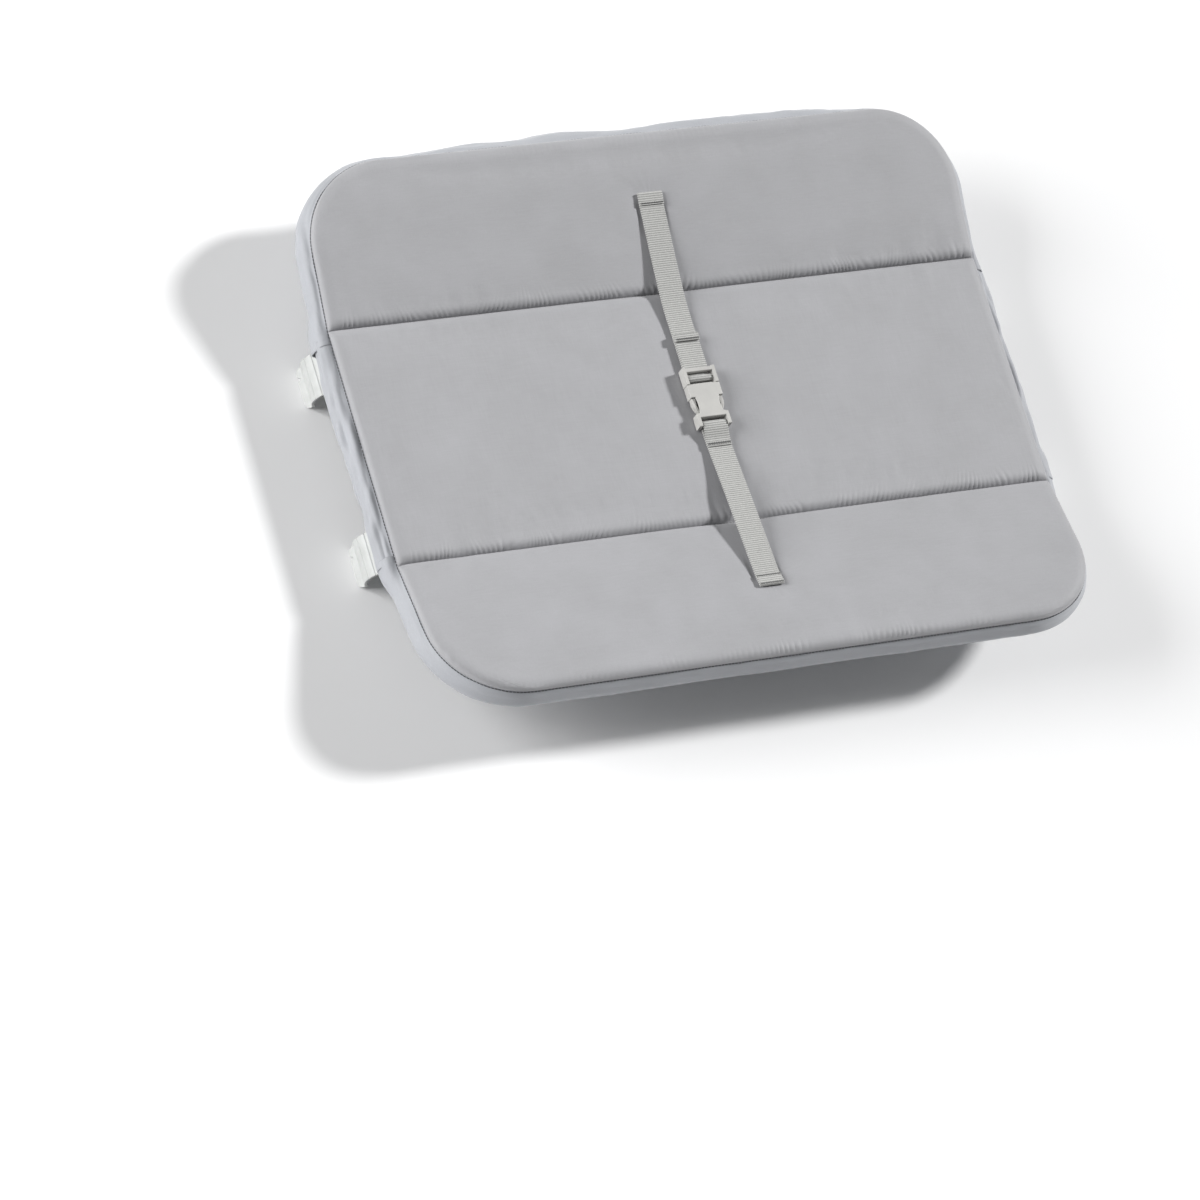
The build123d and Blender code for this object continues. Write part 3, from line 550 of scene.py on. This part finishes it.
def edge_wrap(name, flip, first, last, radius, loose, low_angle, seed, *nodes, sag=0.0):
    """One piece of edge cloth, lofted along the outline.

    radius and loose are each a size and what is added to it near the clips: the cloth's radius round
    the tube, and how far its creases stand off. sag is how far the middle hangs out."""
    s, u, v, side_u, side_v = outline_run(first, last, 1.4 * MM)
    seam = pad_points(u, v, 0)
    outward, normal = pad_frame(v, side_u, side_v)
    if flip:
        seam[:, 1] *= -1
        outward[:, 1] *= -1
        normal[:, 1] *= -1
    sleeve = low_angle < -180
    slack = sag * smooth((250 * MM - np.abs(u - 20 * MM)) / (110 * MM)) * side_v**4
    slack *= 0.85 + 0.3 * soft_noise(u / (60 * MM), 0, seed + 4)
    rings = []
    for i, length in enumerate(s):
        inset = TUBE_INSET + (LONG_EDGE_INSET - TUBE_INSET) * abs(side_v[i])
        near = near_clips(length)
        section, along = wrap_section(inset, radius[0] + radius[1] * near, low_angle, 26)
        tube = np.array([-inset, -TUBE_DEPTH])
        away = section - tube
        away /= np.linalg.norm(away, axis=1)[:, None]
        share = along / along[-1]
        body = smooth((along - 3 * MM) / (5 * MM))
        body *= smooth((1 - share) / 0.08 + (0 if sleeve else 0.35))
        creases = soft_noise(length / (48 * MM) + along / (60 * MM), along / (4.6 * MM), seed)
        creases += 0.6 * soft_noise(length / (17 * MM) - along / (9 * MM), along / (3.6 * MM), seed + 1)
        gather = gathers(length / EDGE_GATHER + soft_noise(length / (21 * MM), 0, seed + 2))
        gather = gather * np.exp(-np.maximum(along - 3 * MM, 0) / (4 * MM))
        gather *= np.clip(0.4 + 0.6 * soft_noise(length / (40 * MM), 1, seed + 3), 0, 1)
        swell = (loose[0] + loose[1] * near) * (0.5 + 0.5 * creases) + 0.3 * MM * gather
        side = section + away * (np.maximum(swell, 0) * body)[:, None]
        side[:, 0] += slack[i] * smooth((along - 2 * MM) / (9 * MM)) * smooth((1 - share) / 0.5)
        from_tube = side - tube
        apart = np.linalg.norm(from_tube, axis=1)[:, None]
        side += from_tube * np.maximum(0, (TUBE_R + TUBE_CLEARANCE) / apart - 1)
        rings.append(seam[i] + outward[i] * side[:, :1] + normal[i] * side[:, 1:])
    rings = np.array(rings)
    faces = grid_faces(*rings.shape[:2])
    if flip:
        faces = [f[::-1] for f in faces]
    made = mesh_object(name, rings, [f[::-1] for f in faces])
    thicken(made)
    finish_piece(made, "pad", "edge_cloth", EDGE_CLOTH_LOOK, *nodes)
    return made


def edge_cloth():
    """Edge cloth: a pocket round each long side of the frame, and a band down each short side."""
    ends = (SKIRT_HALF - LAP, OUTLINE - (SKIRT_HALF - LAP))
    snug, little = (TUBE_R + 0.9 * MM, 4.3 * MM), (1.1 * MM, 1.3 * MM)
    edge_wrap("edge_wrap_front", False, *ends, snug, little, POCKET_END, 71, "edge_sleeve_front")
    roomy, more = (TUBE_R + 2.2 * MM, 3.2 * MM), (2.2 * MM, 0.6 * MM)
    edge_wrap("edge_wrap_back", True, *ends, roomy, more, POCKET_END, 81, "edge_sleeve_back", sag=7 * MM)

    ends = (-SKIRT_HALF, SKIRT_HALF)
    over_clips, hanging = (CLIP_BARREL_R + 0.75 * MM, 0), (3.4 * MM, 0)
    left = edge_wrap("edge_band_left", False, *ends, over_clips, hanging, BAND_END, 91, "edge_skirt_left")
    right = bpy.data.objects.new("edge_band_right", left.data.copy())
    bpy.context.scene.collection.objects.link(right)
    right.data.transform(Matrix.Rotation(math.pi, 4, "Z"))
    thicken(right)
    finish_piece(right, "pad", "edge_cloth", EDGE_CLOTH_LOOK, "edge_skirt_right")


# ---------------------------------------------------------------- sewing thread

def stitches(name, lines, radius, body, *nodes, look=None):
    """Short rounded stitches, one for each pair of end points."""
    sides, points, faces = STITCH_SIDES, [], []
    ring = np.arange(sides) * 2 * math.pi / sides
    for a, b in lines:
        a, b = np.array(a), np.array(b)
        along = (b - a) / np.linalg.norm(b - a)
        across = np.cross(along, [0, 0, 1] if abs(along[2]) < 0.9 else [0, 1, 0])
        across /= np.linalg.norm(across)
        up = np.cross(across, along)
        base = len(points)
        for share, fat in ((0.0, 0.45), (0.18, 1.0), (0.82, 1.0), (1.0, 0.45)):
            middle = a + (b - a) * share
            for angle in ring:
                out = math.cos(angle) * across + math.sin(angle) * up
                points.append(middle + radius * fat * out)
        faces += [[base + i for i in f] for f in grid_faces(4, sides, wrap=True)]
        faces.append([base + i for i in range(sides)])
        faces.append([base + 3 * sides + i for i in reversed(range(sides))])
    made = mesh_object(name, points, [f[::-1] for f in faces])
    finish_piece(made, body, "thread", look or THREAD, *nodes)


def dashes(points, pitch, length):
    """Pairs of end points along a line: one stitch for each pitch."""
    points = np.asarray(points)
    gone = gone_along(points)
    at = np.arange(pitch / 2, gone[-1] - length, pitch)

    def place(where):
        return np.stack([np.interp(where, gone, points[:, k]) for k in range(3)], -1)

    return list(zip(place(at), place(at + length)))


def quilt_stitches():
    """Thread down in the two quilt seams."""
    x = np.linspace(-HALF_LENGTH + 6 * MM, HALF_LENGTH - 6 * MM, 200)
    lines = []
    for seam in (FOLD_Y, -FOLD_Y):
        wander = 0.25 * MM * soft_noise(x / (40 * MM), 0, 95)
        lines += dashes(pad_points(x, seam + wander, 0.35 * MM), STITCH_PITCH, 2.4 * MM)
    stitches("quilt_stitches", lines, 0.32 * MM, "pad")


def edge_stitches():
    """Thread along the seam between the quilt and the edge cloth, down in its groove; its darker colour
    adds painted shade of the groove to the thread's own grey.
    """
    lines = []
    for flip in (1, -1):
        s, u, v, side_u, side_v = outline_run(-1 * MM, OUTLINE + 1 * MM, 2 * MM)
        outward, normal = pad_frame(v, side_u, side_v)
        wander = 0.25 * MM * soft_noise(s / (11 * MM), 0, 97)
        row = pad_points(u, v, 0) + outward * (0.05 * MM + wander)[:, None] - normal * 1.5 * MM
        row[:, 1] *= flip
        lines += dashes(row, STITCH_PITCH, 2.9 * MM)
    stitches("edge_stitches", lines, 0.55 * MM, "pad", look=SEAM_THREAD_AND_PAINTED_SHADE)


# ---------------------------------------------------------------- webbing

def eased(points, step, window):
    """A line of Y, Z points, evenly spaced, with its corners rounded over a window."""
    points = np.asarray(points, float)
    gone = gone_along(points)
    at = np.linspace(0, gone[-1], max(3, round(gone[-1] / step)))
    line = np.stack([np.interp(at, gone, points[:, k]) for k in range(2)], -1)
    reach = max(1, round(window / step / 2))
    for _ in range(2):
        head = 2 * line[0] - line[reach:0:-1]
        tail = 2 * line[-1] - line[-2:-reach - 2:-1]
        padded = np.concatenate([head, line, tail])
        kernel = np.ones(2 * reach + 1) / (2 * reach + 1)
        line = np.stack([np.convolve(padded[:, k], kernel, "valid") for k in range(2)], -1)
    return line


def bend(centre, radius, first, last, step):
    """An arc of Y, Z points, its angles in degrees."""
    count = max(3, round(abs(math.radians(last - first)) * radius / step))
    angle = np.radians(np.linspace(first, last, count))
    return np.asarray(centre) + radius * np.stack([np.cos(angle), np.sin(angle)], -1)


def joined(*runs):
    """Runs of points put end to end, without doubled points."""
    line = runs[0]
    for run in runs[1:]:
        run = np.asarray(run, float)
        keep = np.linalg.norm(run - line[-1], axis=1) > 0.05 * MM
        line = np.concatenate([line, run[keep]])
    return line


def webbing(name, line, thick=WEB_THICK):
    """Ribbed woven webbing along a line of Y, Z points, with its rib height stored on the mesh for the
    painted shade in the valleys between the ribs.
    """
    gone = gone_along(line)
    at = np.linspace(0, gone[-1], round(gone[-1] / (RIB_PITCH / RIB_POINTS)))
    line = np.stack([np.interp(at, gone, line[:, k]) for k in range(2)], -1)
    run = np.gradient(line, axis=0)
    run /= np.linalg.norm(run, axis=1)[:, None]
    off = np.stack([-run[:, 1], run[:, 0]], -1)
    x = np.linspace(-1, 1, WEB_COLUMNS + 1)
    phase = 2 * math.pi * at[:, None] / RIB_PITCH
    column = np.floor((x + 1) / 2 * WEB_BEADS - 1e-6)
    bead = np.cos(phase * 2 + math.pi * (column[None, :] % 2)) * 0.35
    rib = 0.75 * np.cos(phase) + bead
    edge_phase = phase + 0.7
    selvedge = np.abs(x)[None, :] > 0.93
    rib = np.where(selvedge, 0.9 * np.cos(edge_phase), rib)
    edge = 1 - 0.45 * smooth((np.abs(x) - 0.9) / 0.1)[None, :]
    rise = thick / 2 * edge + RIB_DEPTH * (rib - 0.6)
    wide = WEB_WIDTH / 2 * (1 + 0.010 * np.cos(edge_phase) * (np.abs(x)[None, :] > 0.9))
    rings = []
    for sign, order in ((1, slice(None)), (-1, slice(None, None, -1))):
        h = (sign * rise)[:, order]
        xs = (x[None, :] * wide)[:, order]
        yz = line[:, None, :] + off[:, None, :] * h[..., None]
        rings.append(np.concatenate([(STRAP_X + xs)[..., None], yz], -1))
    rings = np.concatenate(rings, 1)
    rows, cols = rings.shape[:2]
    faces = grid_faces(rows, cols, wrap=True)
    faces.append(list(range(cols)))
    faces.append([(rows - 1) * cols + i for i in reversed(range(cols))])
    made = mesh_object(name, rings, [f[::-1] for f in faces])
    # Rib height as a mesh attribute: the webbing material uses it to paint shade into the valleys between
    # the ribs.
    shade = made.data.attributes.new("weave", "FLOAT", "POINT")
    value = np.concatenate([rib, rib[:, ::-1]], 1)
    shade.data.foreach_set("value", value.ravel().astype(np.float32))
    return made


def on_panel(side, out, height):
    """Y and Z of a point on an outer panel, out from its fold."""
    point = pad_points(0.0, side * (FOLD_Y + out), height)
    return float(point[1]), float(point[2])


def anchor_end(side, anchor):
    """The strap's sewn end from its inner edge: out along the panel, folded over, and back on top."""
    inner, outer = anchor - TAB_LENGTH / 2, anchor + TAB_LENGTH / 2
    fold = WEB_THICK * 0.56
    lower = [on_panel(side, inner, WEB_HEIGHT), on_panel(side, outer - fold, WEB_HEIGHT)]
    middle = np.array(on_panel(side, outer - fold, WEB_HEIGHT + fold))
    tilt = side * math.degrees(TILT)
    turn = bend(middle, fold, tilt - 90, tilt - 90 + side * 180, 0.2 * MM)
    upper = [on_panel(side, out, WEB_HEIGHT + 2 * fold) for out in (outer - fold, inner)]
    return lower, turn, upper


def strap_pieces():
    """Every length of webbing."""
    roll_low, roll_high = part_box("strap_turn")
    hem_low, hem_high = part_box("strap_hem")
    bar = np.array([(roll_low.y + roll_high.y) / 2, (roll_low.z + roll_high.z) / 2])
    low_z = bar[1] - TURN_R
    tail_z = (STRAP_LOW.z + STRAP_HIGH.z) / 2
    start = STRAP_LOW.y + 1.0 * MM

    # Level under the tail and its hem, then up the back panel
    lower, turn, upper = anchor_end(BACK, BACK_ANCHOR)
    route = [(start, low_z), (BACK_LEVEL_Y, low_z), (BACK_RISE_Y, low_z + BACK_RISE), lower[0]]
    line = joined(eased(route, 0.5 * MM, 16 * MM), [lower[1]], turn, upper)
    back = webbing("webbing_back", line)
    finish_piece(back, None, "webbing", WEBBING, "strap_back")
    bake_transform(back)

    # Round the ladder bar
    off_bar = [bar + (0.6 * MM, TURN_R - 0.1 * MM), (start - 1.6 * MM, tail_z + 1.2 * MM), (start, tail_z)]
    line = joined(
        eased([(start, low_z), bar + (0, -TURN_R)], 0.4 * MM, 0.5 * MM),
        bend(bar, TURN_R, -90, -262, 0.4 * MM),
        eased(off_bar, 0.3 * MM, 1.5 * MM),
    )
    roll = webbing("webbing_roll", line)
    finish_piece(roll, "buckle_plug", "webbing", WEBBING, "strap_turn")

    # The free tail
    line = eased([(start, tail_z), (hem_low.y, tail_z)], 0.5 * MM, 2 * MM)
    tail = webbing("webbing_tail", line)
    finish_piece(tail, None, "webbing", WEBBING, "strap_tail")
    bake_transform(tail)

    # Its hem, folded over twice
    step = (hem_high.z - hem_low.z) / 3
    levels = [hem_low.z + step * (k + 0.5) for k in range(3)]
    near, end = hem_low.y + 0.9 * MM, hem_high.y - 0.9 * MM
    line = joined(
        np.array([(near - 0.6 * MM, levels[0]), (end, levels[0])]),
        bend((end, (levels[0] + levels[1]) / 2), step / 2, -90, 90, 0.2 * MM),
        np.array([(end, levels[1]), (near, levels[1])]),
        bend((near, (levels[1] + levels[2]) / 2), step / 2, -90, -270, 0.2 * MM),
        np.array([(near, levels[2]), (end, levels[2])]),
    )
    hem = webbing("webbing_hem", line, thick=step * 0.96)
    finish_piece(hem, "strap_end", "webbing", WEBBING, "strap_hem")

    # From the front anchor up to the socket's bar, round it, and back to the bar tack
    bar = np.array([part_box("buckle_socket")[0].y + 3.0 * MM, bar[1]])
    tack = bar[0] - TACK_FROM_BAR
    lower, turn, upper = anchor_end(FRONT, FRONT_ANCHOR)
    over = low_z + WEB_THICK * 1.06
    fold_y, fold_z = -FOLD_Y, SEAM_Z + PUFF
    sag = (fold_y + 24 * MM, fold_z + 8.6 * MM)
    slope = (sag[1] - low_z) / (tack - sag[0])
    looped = [bar + (0, TURN_R), bar + (-4.2 * MM, TURN_R)]
    looped += [(tack + 1 * MM, over + 0.1 * MM), (tack - LOOP_END, over + slope * LOOP_END)]
    line = joined(
        np.array(upper[::-1]),
        turn[::-1],
        eased([lower[1], lower[0], sag, (tack, low_z), (tack + 6 * MM, low_z)], 0.5 * MM, 10 * MM),
        np.array([(bar[0], low_z)]),
        bend(bar, TURN_R, -90, 90, 0.4 * MM),
        eased(looped, 0.4 * MM, 4 * MM),
    )
    front = webbing("webbing_front", line)
    finish_piece(front, "pad", "webbing", WEBBING, "strap_front")
    thread_pieces(tack, over, slope, hem_low, levels[2] + step / 2)


def bar_row(y0, z0, y1, z1):
    """Bar-tack stitches side by side across the strap."""
    xs = STRAP_X + WEB_WIDTH * 0.46 * np.linspace(-1, 1, BAR_STITCHES)
    lines = []
    for k, x in enumerate(xs):
        lean = 0.35 * MM * (1 if k % 2 else -1)
        lines.append(((x - lean, y0, z0), (x + lean, y1, z1)))
    return lines


def thread_pieces(tack, over, slope, hem_low, hem_top):
    """Thread over the strap's sewn ends, its bar tack and its hem."""
    lines = []
    for side, anchor in ANCHORS:
        height = WEB_HEIGHT + WEB_THICK * 1.12 + WEB_THICK / 2 + 0.1 * MM
        for end in ((-1,) if side == BACK else (-1, 1)):
            middle = anchor + end * (TAB_LENGTH / 2 - 1.5 * MM)
            a = on_panel(side, middle - 0.8 * MM, height)
            b = on_panel(side, middle + 0.8 * MM, height)
            lines += bar_row(*a, *b)
    stitches("thread_anchors", lines, 0.3 * MM, "pad", "anchor_stitching")
    z = over + WEB_THICK / 2 + 0.15 * MM
    y = tack - 3.4 * MM
    lines = bar_row(y - 1.3 * MM, z + slope * 4.7 * MM, y + 1.3 * MM, z + slope * 2.1 * MM)
    stitches("thread_bar_tack", lines, 0.34 * MM, "pad", "strap_bar_tack")
    y = hem_low.y + 1.6 * MM
    lines = bar_row(y - 0.9 * MM, hem_top + 0.1 * MM, y + 0.9 * MM, hem_top + 0.1 * MM)
    stitches("thread_hem", lines, 0.34 * MM, "strap_end", "hem_stitching")


# ---------------------------------------------------------------- materials

def linear(*rgb):
    """A screen colour from 0 to 255 as the linear colour that a shader takes."""
    return tuple(((c / 255 + 0.055) / 1.055) ** 2.4 for c in rgb) + (1.0,)


class Look:
    """A material being put together: its shader and shortcuts for its nodes."""

    def __init__(self, name, rough, **settings):
        self.material = bpy.data.materials.new(name)
        self.material.use_nodes = True
        self.tree = self.material.node_tree
        self.shader = self.tree.nodes["Principled BSDF"]
        self.shader.inputs["Roughness"].default_value = rough
        for key, value in settings.items():
            self.shader.inputs[key.replace("_", " ")].default_value = value
        self.place = self.tree.nodes.new("ShaderNodeTexCoord").outputs["Object"]
        self.relief = None

    def link(self, a, b):
        """Joins an output to an input."""
        self.tree.links.new(a, b)

    def stretched(self, x, y, z):
        """The object's own coordinates, scaled along each axis."""
        node = self.tree.nodes.new("ShaderNodeMapping")
        node.inputs["Scale"].default_value = (x, y, z)
        self.link(self.place, node.inputs["Vector"])
        return node.outputs["Vector"]

    def noise(self, x, y, z, detail=2.0, rough=0.5):
        """Noise with that many bumps to the metre along each axis."""
        node = self.tree.nodes.new("ShaderNodeTexNoise")
        node.inputs["Scale"].default_value = 1.0
        node.inputs["Detail"].default_value = detail
        node.inputs["Roughness"].default_value = rough
        self.link(self.stretched(x, y, z), node.inputs["Vector"])
        return node.outputs["Fac"]

    def threads(self, axis, pitch):
        """Bands across an axis, one for each pitch."""
        node = self.tree.nodes.new("ShaderNodeTexWave")
        node.wave_type = "BANDS"
        node.bands_direction = axis
        node.inputs["Scale"].default_value = 2 * math.pi / (20 * pitch)
        node.inputs["Distortion"].default_value = 0.6
        node.inputs["Detail"].default_value = 1.0
        self.link(self.place, node.inputs["Vector"])
        return node.outputs["Fac"]

    def math(self, operation, a, b):
        """Two values, or a value and a number, put together."""
        node = self.tree.nodes.new("ShaderNodeMath")
        node.operation = operation
        for slot, value in zip(node.inputs, (a, b)):
            if isinstance(value, (int, float)):
                slot.default_value = value
            else:
                self.link(value, slot)
        return node.outputs[0]

    def attribute(self, name):
        """A value stored on the mesh."""
        node = self.tree.nodes.new("ShaderNodeAttribute")
        node.attribute_name = name
        return node.outputs["Fac"]

    def ramp(self, value, low, high, dark, light):
        """A colour from dark at low to light at high."""
        node = self.tree.nodes.new("ShaderNodeValToRGB")
        first, last = node.color_ramp.elements
        first.position, first.color = low, dark
        last.position, last.color = high, light
        self.link(value, node.inputs["Fac"])
        return node.outputs["Color"]

    def colour(self, value):
        """Sets the base colour."""
        self.link(value, self.shader.inputs["Base Color"])

    def roughness(self, value, low, high):
        """Lets the roughness run from low to high with a value."""
        node = self.tree.nodes.new("ShaderNodeMapRange")
        node.inputs["To Min"].default_value = low
        node.inputs["To Max"].default_value = high
        self.link(value, node.inputs["Value"])
        self.link(node.outputs["Result"], self.shader.inputs["Roughness"])

    def bump(self, value, distance, strength):
        """Adds fine relief to what is there already."""
        node = self.tree.nodes.new("ShaderNodeBump")
        node.inputs["Distance"].default_value = distance
        node.inputs["Strength"].default_value = strength
        self.link(value, node.inputs["Height"])
        if self.relief is not None:
            self.link(self.relief, node.inputs["Normal"])
        self.relief = node.outputs["Normal"]
        self.link(self.relief, self.shader.inputs["Normal"])


def cloth_look(name, dark, light, rough, sheen, pitch, weave, slub):
    """Plain-woven polyester: fine threads both ways, slubs, and a soft sheen."""
    look = Look(name, rough, Sheen_Weight=sheen, Sheen_Roughness=0.45, Specular_IOR_Level=0.35)
    slubs = look.math("ADD", look.noise(60, 1900, 1900, 3), look.noise(1900, 60, 1900, 3))
    cloud = look.noise(22, 22, 22, 3)
    cloud_share = look.math("MULTIPLY", cloud, 1 - slub * 2)
    mixed = look.math("ADD", look.math("MULTIPLY", slubs, slub), cloud_share)
    look.colour(look.ramp(mixed, 0.33, 0.67, linear(*dark), linear(*light)))
    look.roughness(cloud, rough - 0.06, rough + 0.06)
    woven = look.math("MULTIPLY", look.threads("X", pitch), look.threads("Y", pitch))
    look.bump(woven, 0.06 * MM, weave)
    look.bump(slubs, 0.05 * MM, weave)
    return look.material


def webbing_look():
    """Coarse ribbed webbing: the fibres' own tone, with painted shade that darkens the valleys between the
    ribs so the raised threads stay lighter.
    """
    look = Look("woven_webbing", 0.8, Sheen_Weight=0.25, Sheen_Roughness=0.5, Specular_IOR_Level=0.3)
    fibres = look.noise(900, 2600, 900, 2)
    # Painted shade: the stored rib height makes the colour darker in the rib valleys; the fibre noise is
    # the webbing's own tone.
    value = look.math("ADD", look.math("MULTIPLY", look.attribute("weave"), 0.42), fibres)
    look.colour(look.ramp(value, 0.12, 0.86, linear(132, 132, 130), linear(200, 200, 197)))
    look.bump(fibres, 0.12 * MM, 0.5)
    look.bump(look.threads("X", 0.8 * MM), 0.08 * MM, 0.4)
    return look.material


def thread_look(name, dark, light):
    """Twisted sewing thread."""
    look = Look(name, 0.75, Specular_IOR_Level=0.25)
    twist = look.noise(2400, 2400, 2400, 2)
    look.colour(look.ramp(twist, 0.3, 0.7, linear(*dark), linear(*light)))
    look.bump(twist, 0.08 * MM, 0.6)
    return look.material


def plastic_look(name, dark, light, rough, grain):
    """Moulded plastic: a fine spark-eroded grain, slight clouding and handling marks."""
    look = Look(name, rough, Specular_IOR_Level=0.45)
    cloud = look.noise(70, 70, 70, 4)
    look.colour(look.ramp(cloud, 0.3, 0.7, linear(*dark), linear(*light)))
    look.roughness(look.noise(260, 260, 260, 4), rough - 0.08, rough + 0.10)
    look.bump(look.noise(2600, 2600, 2600, 2), 0.03 * MM, grain)
    look.bump(cloud, 0.15 * MM, 0.2)
    return look.material


def steel_look(name, dark, light, rough, metal, brushed):
    """Steel, coated or bare, with drawing marks and light scuffs."""
    look = Look(name, rough, Metallic=metal)
    marks = look.noise(600, 30, 600, 4)
    cloud = look.noise(55, 55, 55, 5, 0.6)
    look.colour(look.ramp(cloud, 0.35, 0.7, linear(*dark), linear(*light)))
    look.roughness(marks, rough - 0.08, rough + 0.12)
    look.bump(marks, 0.05 * MM, brushed)
    return look.material


def floor_look():
    """Plain pale paper sweep."""
    look = Look("studio_floor", 0.9, Specular_IOR_Level=0.1)
    cloud = look.noise(0.8, 0.8, 0.8, 2)
    look.colour(look.ramp(cloud, 0.3, 0.7, linear(247, 247, 247), linear(250, 250, 250)))
    return look.material


def finish_piece(piece, body, slot, material, *nodes):
    """Gives a piece its material and its body, and hides the nodes that it stands for. Its slot is not
    used.
    """
    piece.data.materials.clear()
    piece.data.materials.append(material)
    if body:
        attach(piece, body)
    if nodes:
        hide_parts(*nodes)


PAD_CLOTH = cloth_look(
    "pad_microfibre", (156, 156, 158), (167, 167, 170),
    rough=0.58, sheen=0.18, pitch=0.55 * MM, weave=0.5, slub=0.32)
EDGE_CLOTH_LOOK = cloth_look(
    "edge_microfibre", (162, 164, 168), (175, 177, 182),
    rough=0.56, sheen=0.2, pitch=0.55 * MM, weave=0.45, slub=0.35)
UNDER_CLOTH = cloth_look(
    "under_lining", (168, 170, 174), (184, 186, 190),
    rough=0.75, sheen=0.2, pitch=0.8 * MM, weave=0.5, slub=0.3)
WEBBING = webbing_look()
THREAD = thread_look("sewing_thread", (98, 98, 98), (130, 130, 129))
# Darker than the other thread: the seam thread's own grey with painted shade of the seam's groove added to
# it.
SEAM_THREAD_AND_PAINTED_SHADE = thread_look("seam_thread_and_painted_shade", (76, 77, 80), (106, 107, 110))
BUCKLE_PLASTIC = plastic_look("buckle_acetal", (184, 183, 180), (194, 193, 189), 0.38, 0.35)
CLIP_PLASTIC = plastic_look("clip_nylon", (184, 186, 184), (195, 197, 195), 0.42, 0.4)
FRAME_STEEL = steel_look("coated_steel", (196, 198, 200), (212, 214, 216), 0.38, 0.0, 0.15)
BARE_STEEL = steel_look("zinc_steel", (158, 160, 162), (186, 188, 190), 0.34, 1.0, 0.3)
RIVET_METAL = steel_look("rivet_steel", (172, 173, 174), (200, 201, 202), 0.3, 1.0, 0.2)

NODE_LOOKS = {
    "frame_tube_back": FRAME_STEEL,
    "frame_tube_front": FRAME_STEEL,
    "frame_spigot_left": BARE_STEEL,
    "frame_spigot_right": BARE_STEEL,
    "frame_rivets": RIVET_METAL,
    "clip_screws": RIVET_METAL,
    "buckle_socket": BUCKLE_PLASTIC,
    "buckle_plug": BUCKLE_PLASTIC,
    "buckle_prong_left": BUCKLE_PLASTIC,
    "buckle_prong_right": BUCKLE_PLASTIC,
    "clip_left_back": CLIP_PLASTIC,
    "clip_left_front": CLIP_PLASTIC,
    "clip_right_back": CLIP_PLASTIC,
    "clip_right_front": CLIP_PLASTIC,
}


def dress_nodes():
    """Materials on the hard parts that are kept as they are."""
    for name, material in NODE_LOOKS.items():
        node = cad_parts[name]
        node.data.materials.clear()
        node.data.materials.append(material)


# ---------------------------------------------------------------- floor, lights, camera

FLOOR_HALF = 20
WORLD_COLOUR, WORLD_STRENGTH = (0.97, 0.98, 1.0, 1.0), 0.19

LENS, SENSOR = 193.347, 36.0
CAMERA_PLACE = (-2.547, -2.1955, 5.0318)
CAMERA_RIGHT = (0.9048, -0.2765, 0.3238)
CAMERA_UP = (0.1229, 0.8976, 0.4232)
CAMERA_BACK = (-0.4077, -0.3432, 0.8462)


def lamp(name, kind, toward, energy, size, distance=3.0):
    """A light that shines on the pad from a direction. A sun's size is its angle."""
    data = bpy.data.lights.new(name, kind)
    data.energy = energy
    if kind == "SUN":
        data.angle = size
    else:
        data.size = size
    made = bpy.data.objects.new(name, data)
    bpy.context.scene.collection.objects.link(made)
    toward = Vector(toward).normalized()
    made.location = toward * distance + Vector((0, 0, SEAM_Z))
    made.rotation_mode = "QUATERNION"
    made.rotation_quaternion = toward.to_track_quat("Z", "Y")


def studio():
    """A pale floor, a crisp key light from the right, and a broad low light from the left."""
    corners = [(-1, -1), (1, -1), (1, 1), (-1, 1)]
    floor = mesh_object("floor", [(x * FLOOR_HALF, y * FLOOR_HALF, 0) for x, y in corners], [[0, 1, 2, 3]])
    floor.data.materials.append(floor_look())
    world = bpy.data.worlds.new("studio")
    bpy.context.scene.world = world
    world.use_nodes = True
    background = world.node_tree.nodes["Background"]
    background.inputs["Color"].default_value = WORLD_COLOUR
    background.inputs["Strength"].default_value = WORLD_STRENGTH
    lamp("key", "SUN", (0.81, 0.15, 0.56), 3.35, math.radians(8))
    lamp("side_left", "AREA", (-0.88, 0.27, 0.39), 540, 4.2, 7.0)


def camera():
    """The photo's camera, from the front left and above, rolled as the photo is."""
    data = bpy.data.cameras.new("camera")
    data.lens, data.sensor_width = LENS, SENSOR
    data.clip_start, data.clip_end = 0.1, 60
    made = bpy.data.objects.new("camera", data)
    bpy.context.scene.collection.objects.link(made)
    turn = Matrix((CAMERA_RIGHT, CAMERA_UP, CAMERA_BACK)).transposed().to_4x4()
    made.matrix_world = Matrix.Translation(CAMERA_PLACE) @ turn
    bpy.context.scene.camera = made


bpy.context.scene.view_settings.view_transform = "Standard"
bpy.context.scene.view_settings.look = "None"
dress_nodes()
edge_cloth()
under_cloth()
quilt(*quilt_surface())
quilt_stitches()
edge_stitches()
strap_pieces()
studio()
camera()
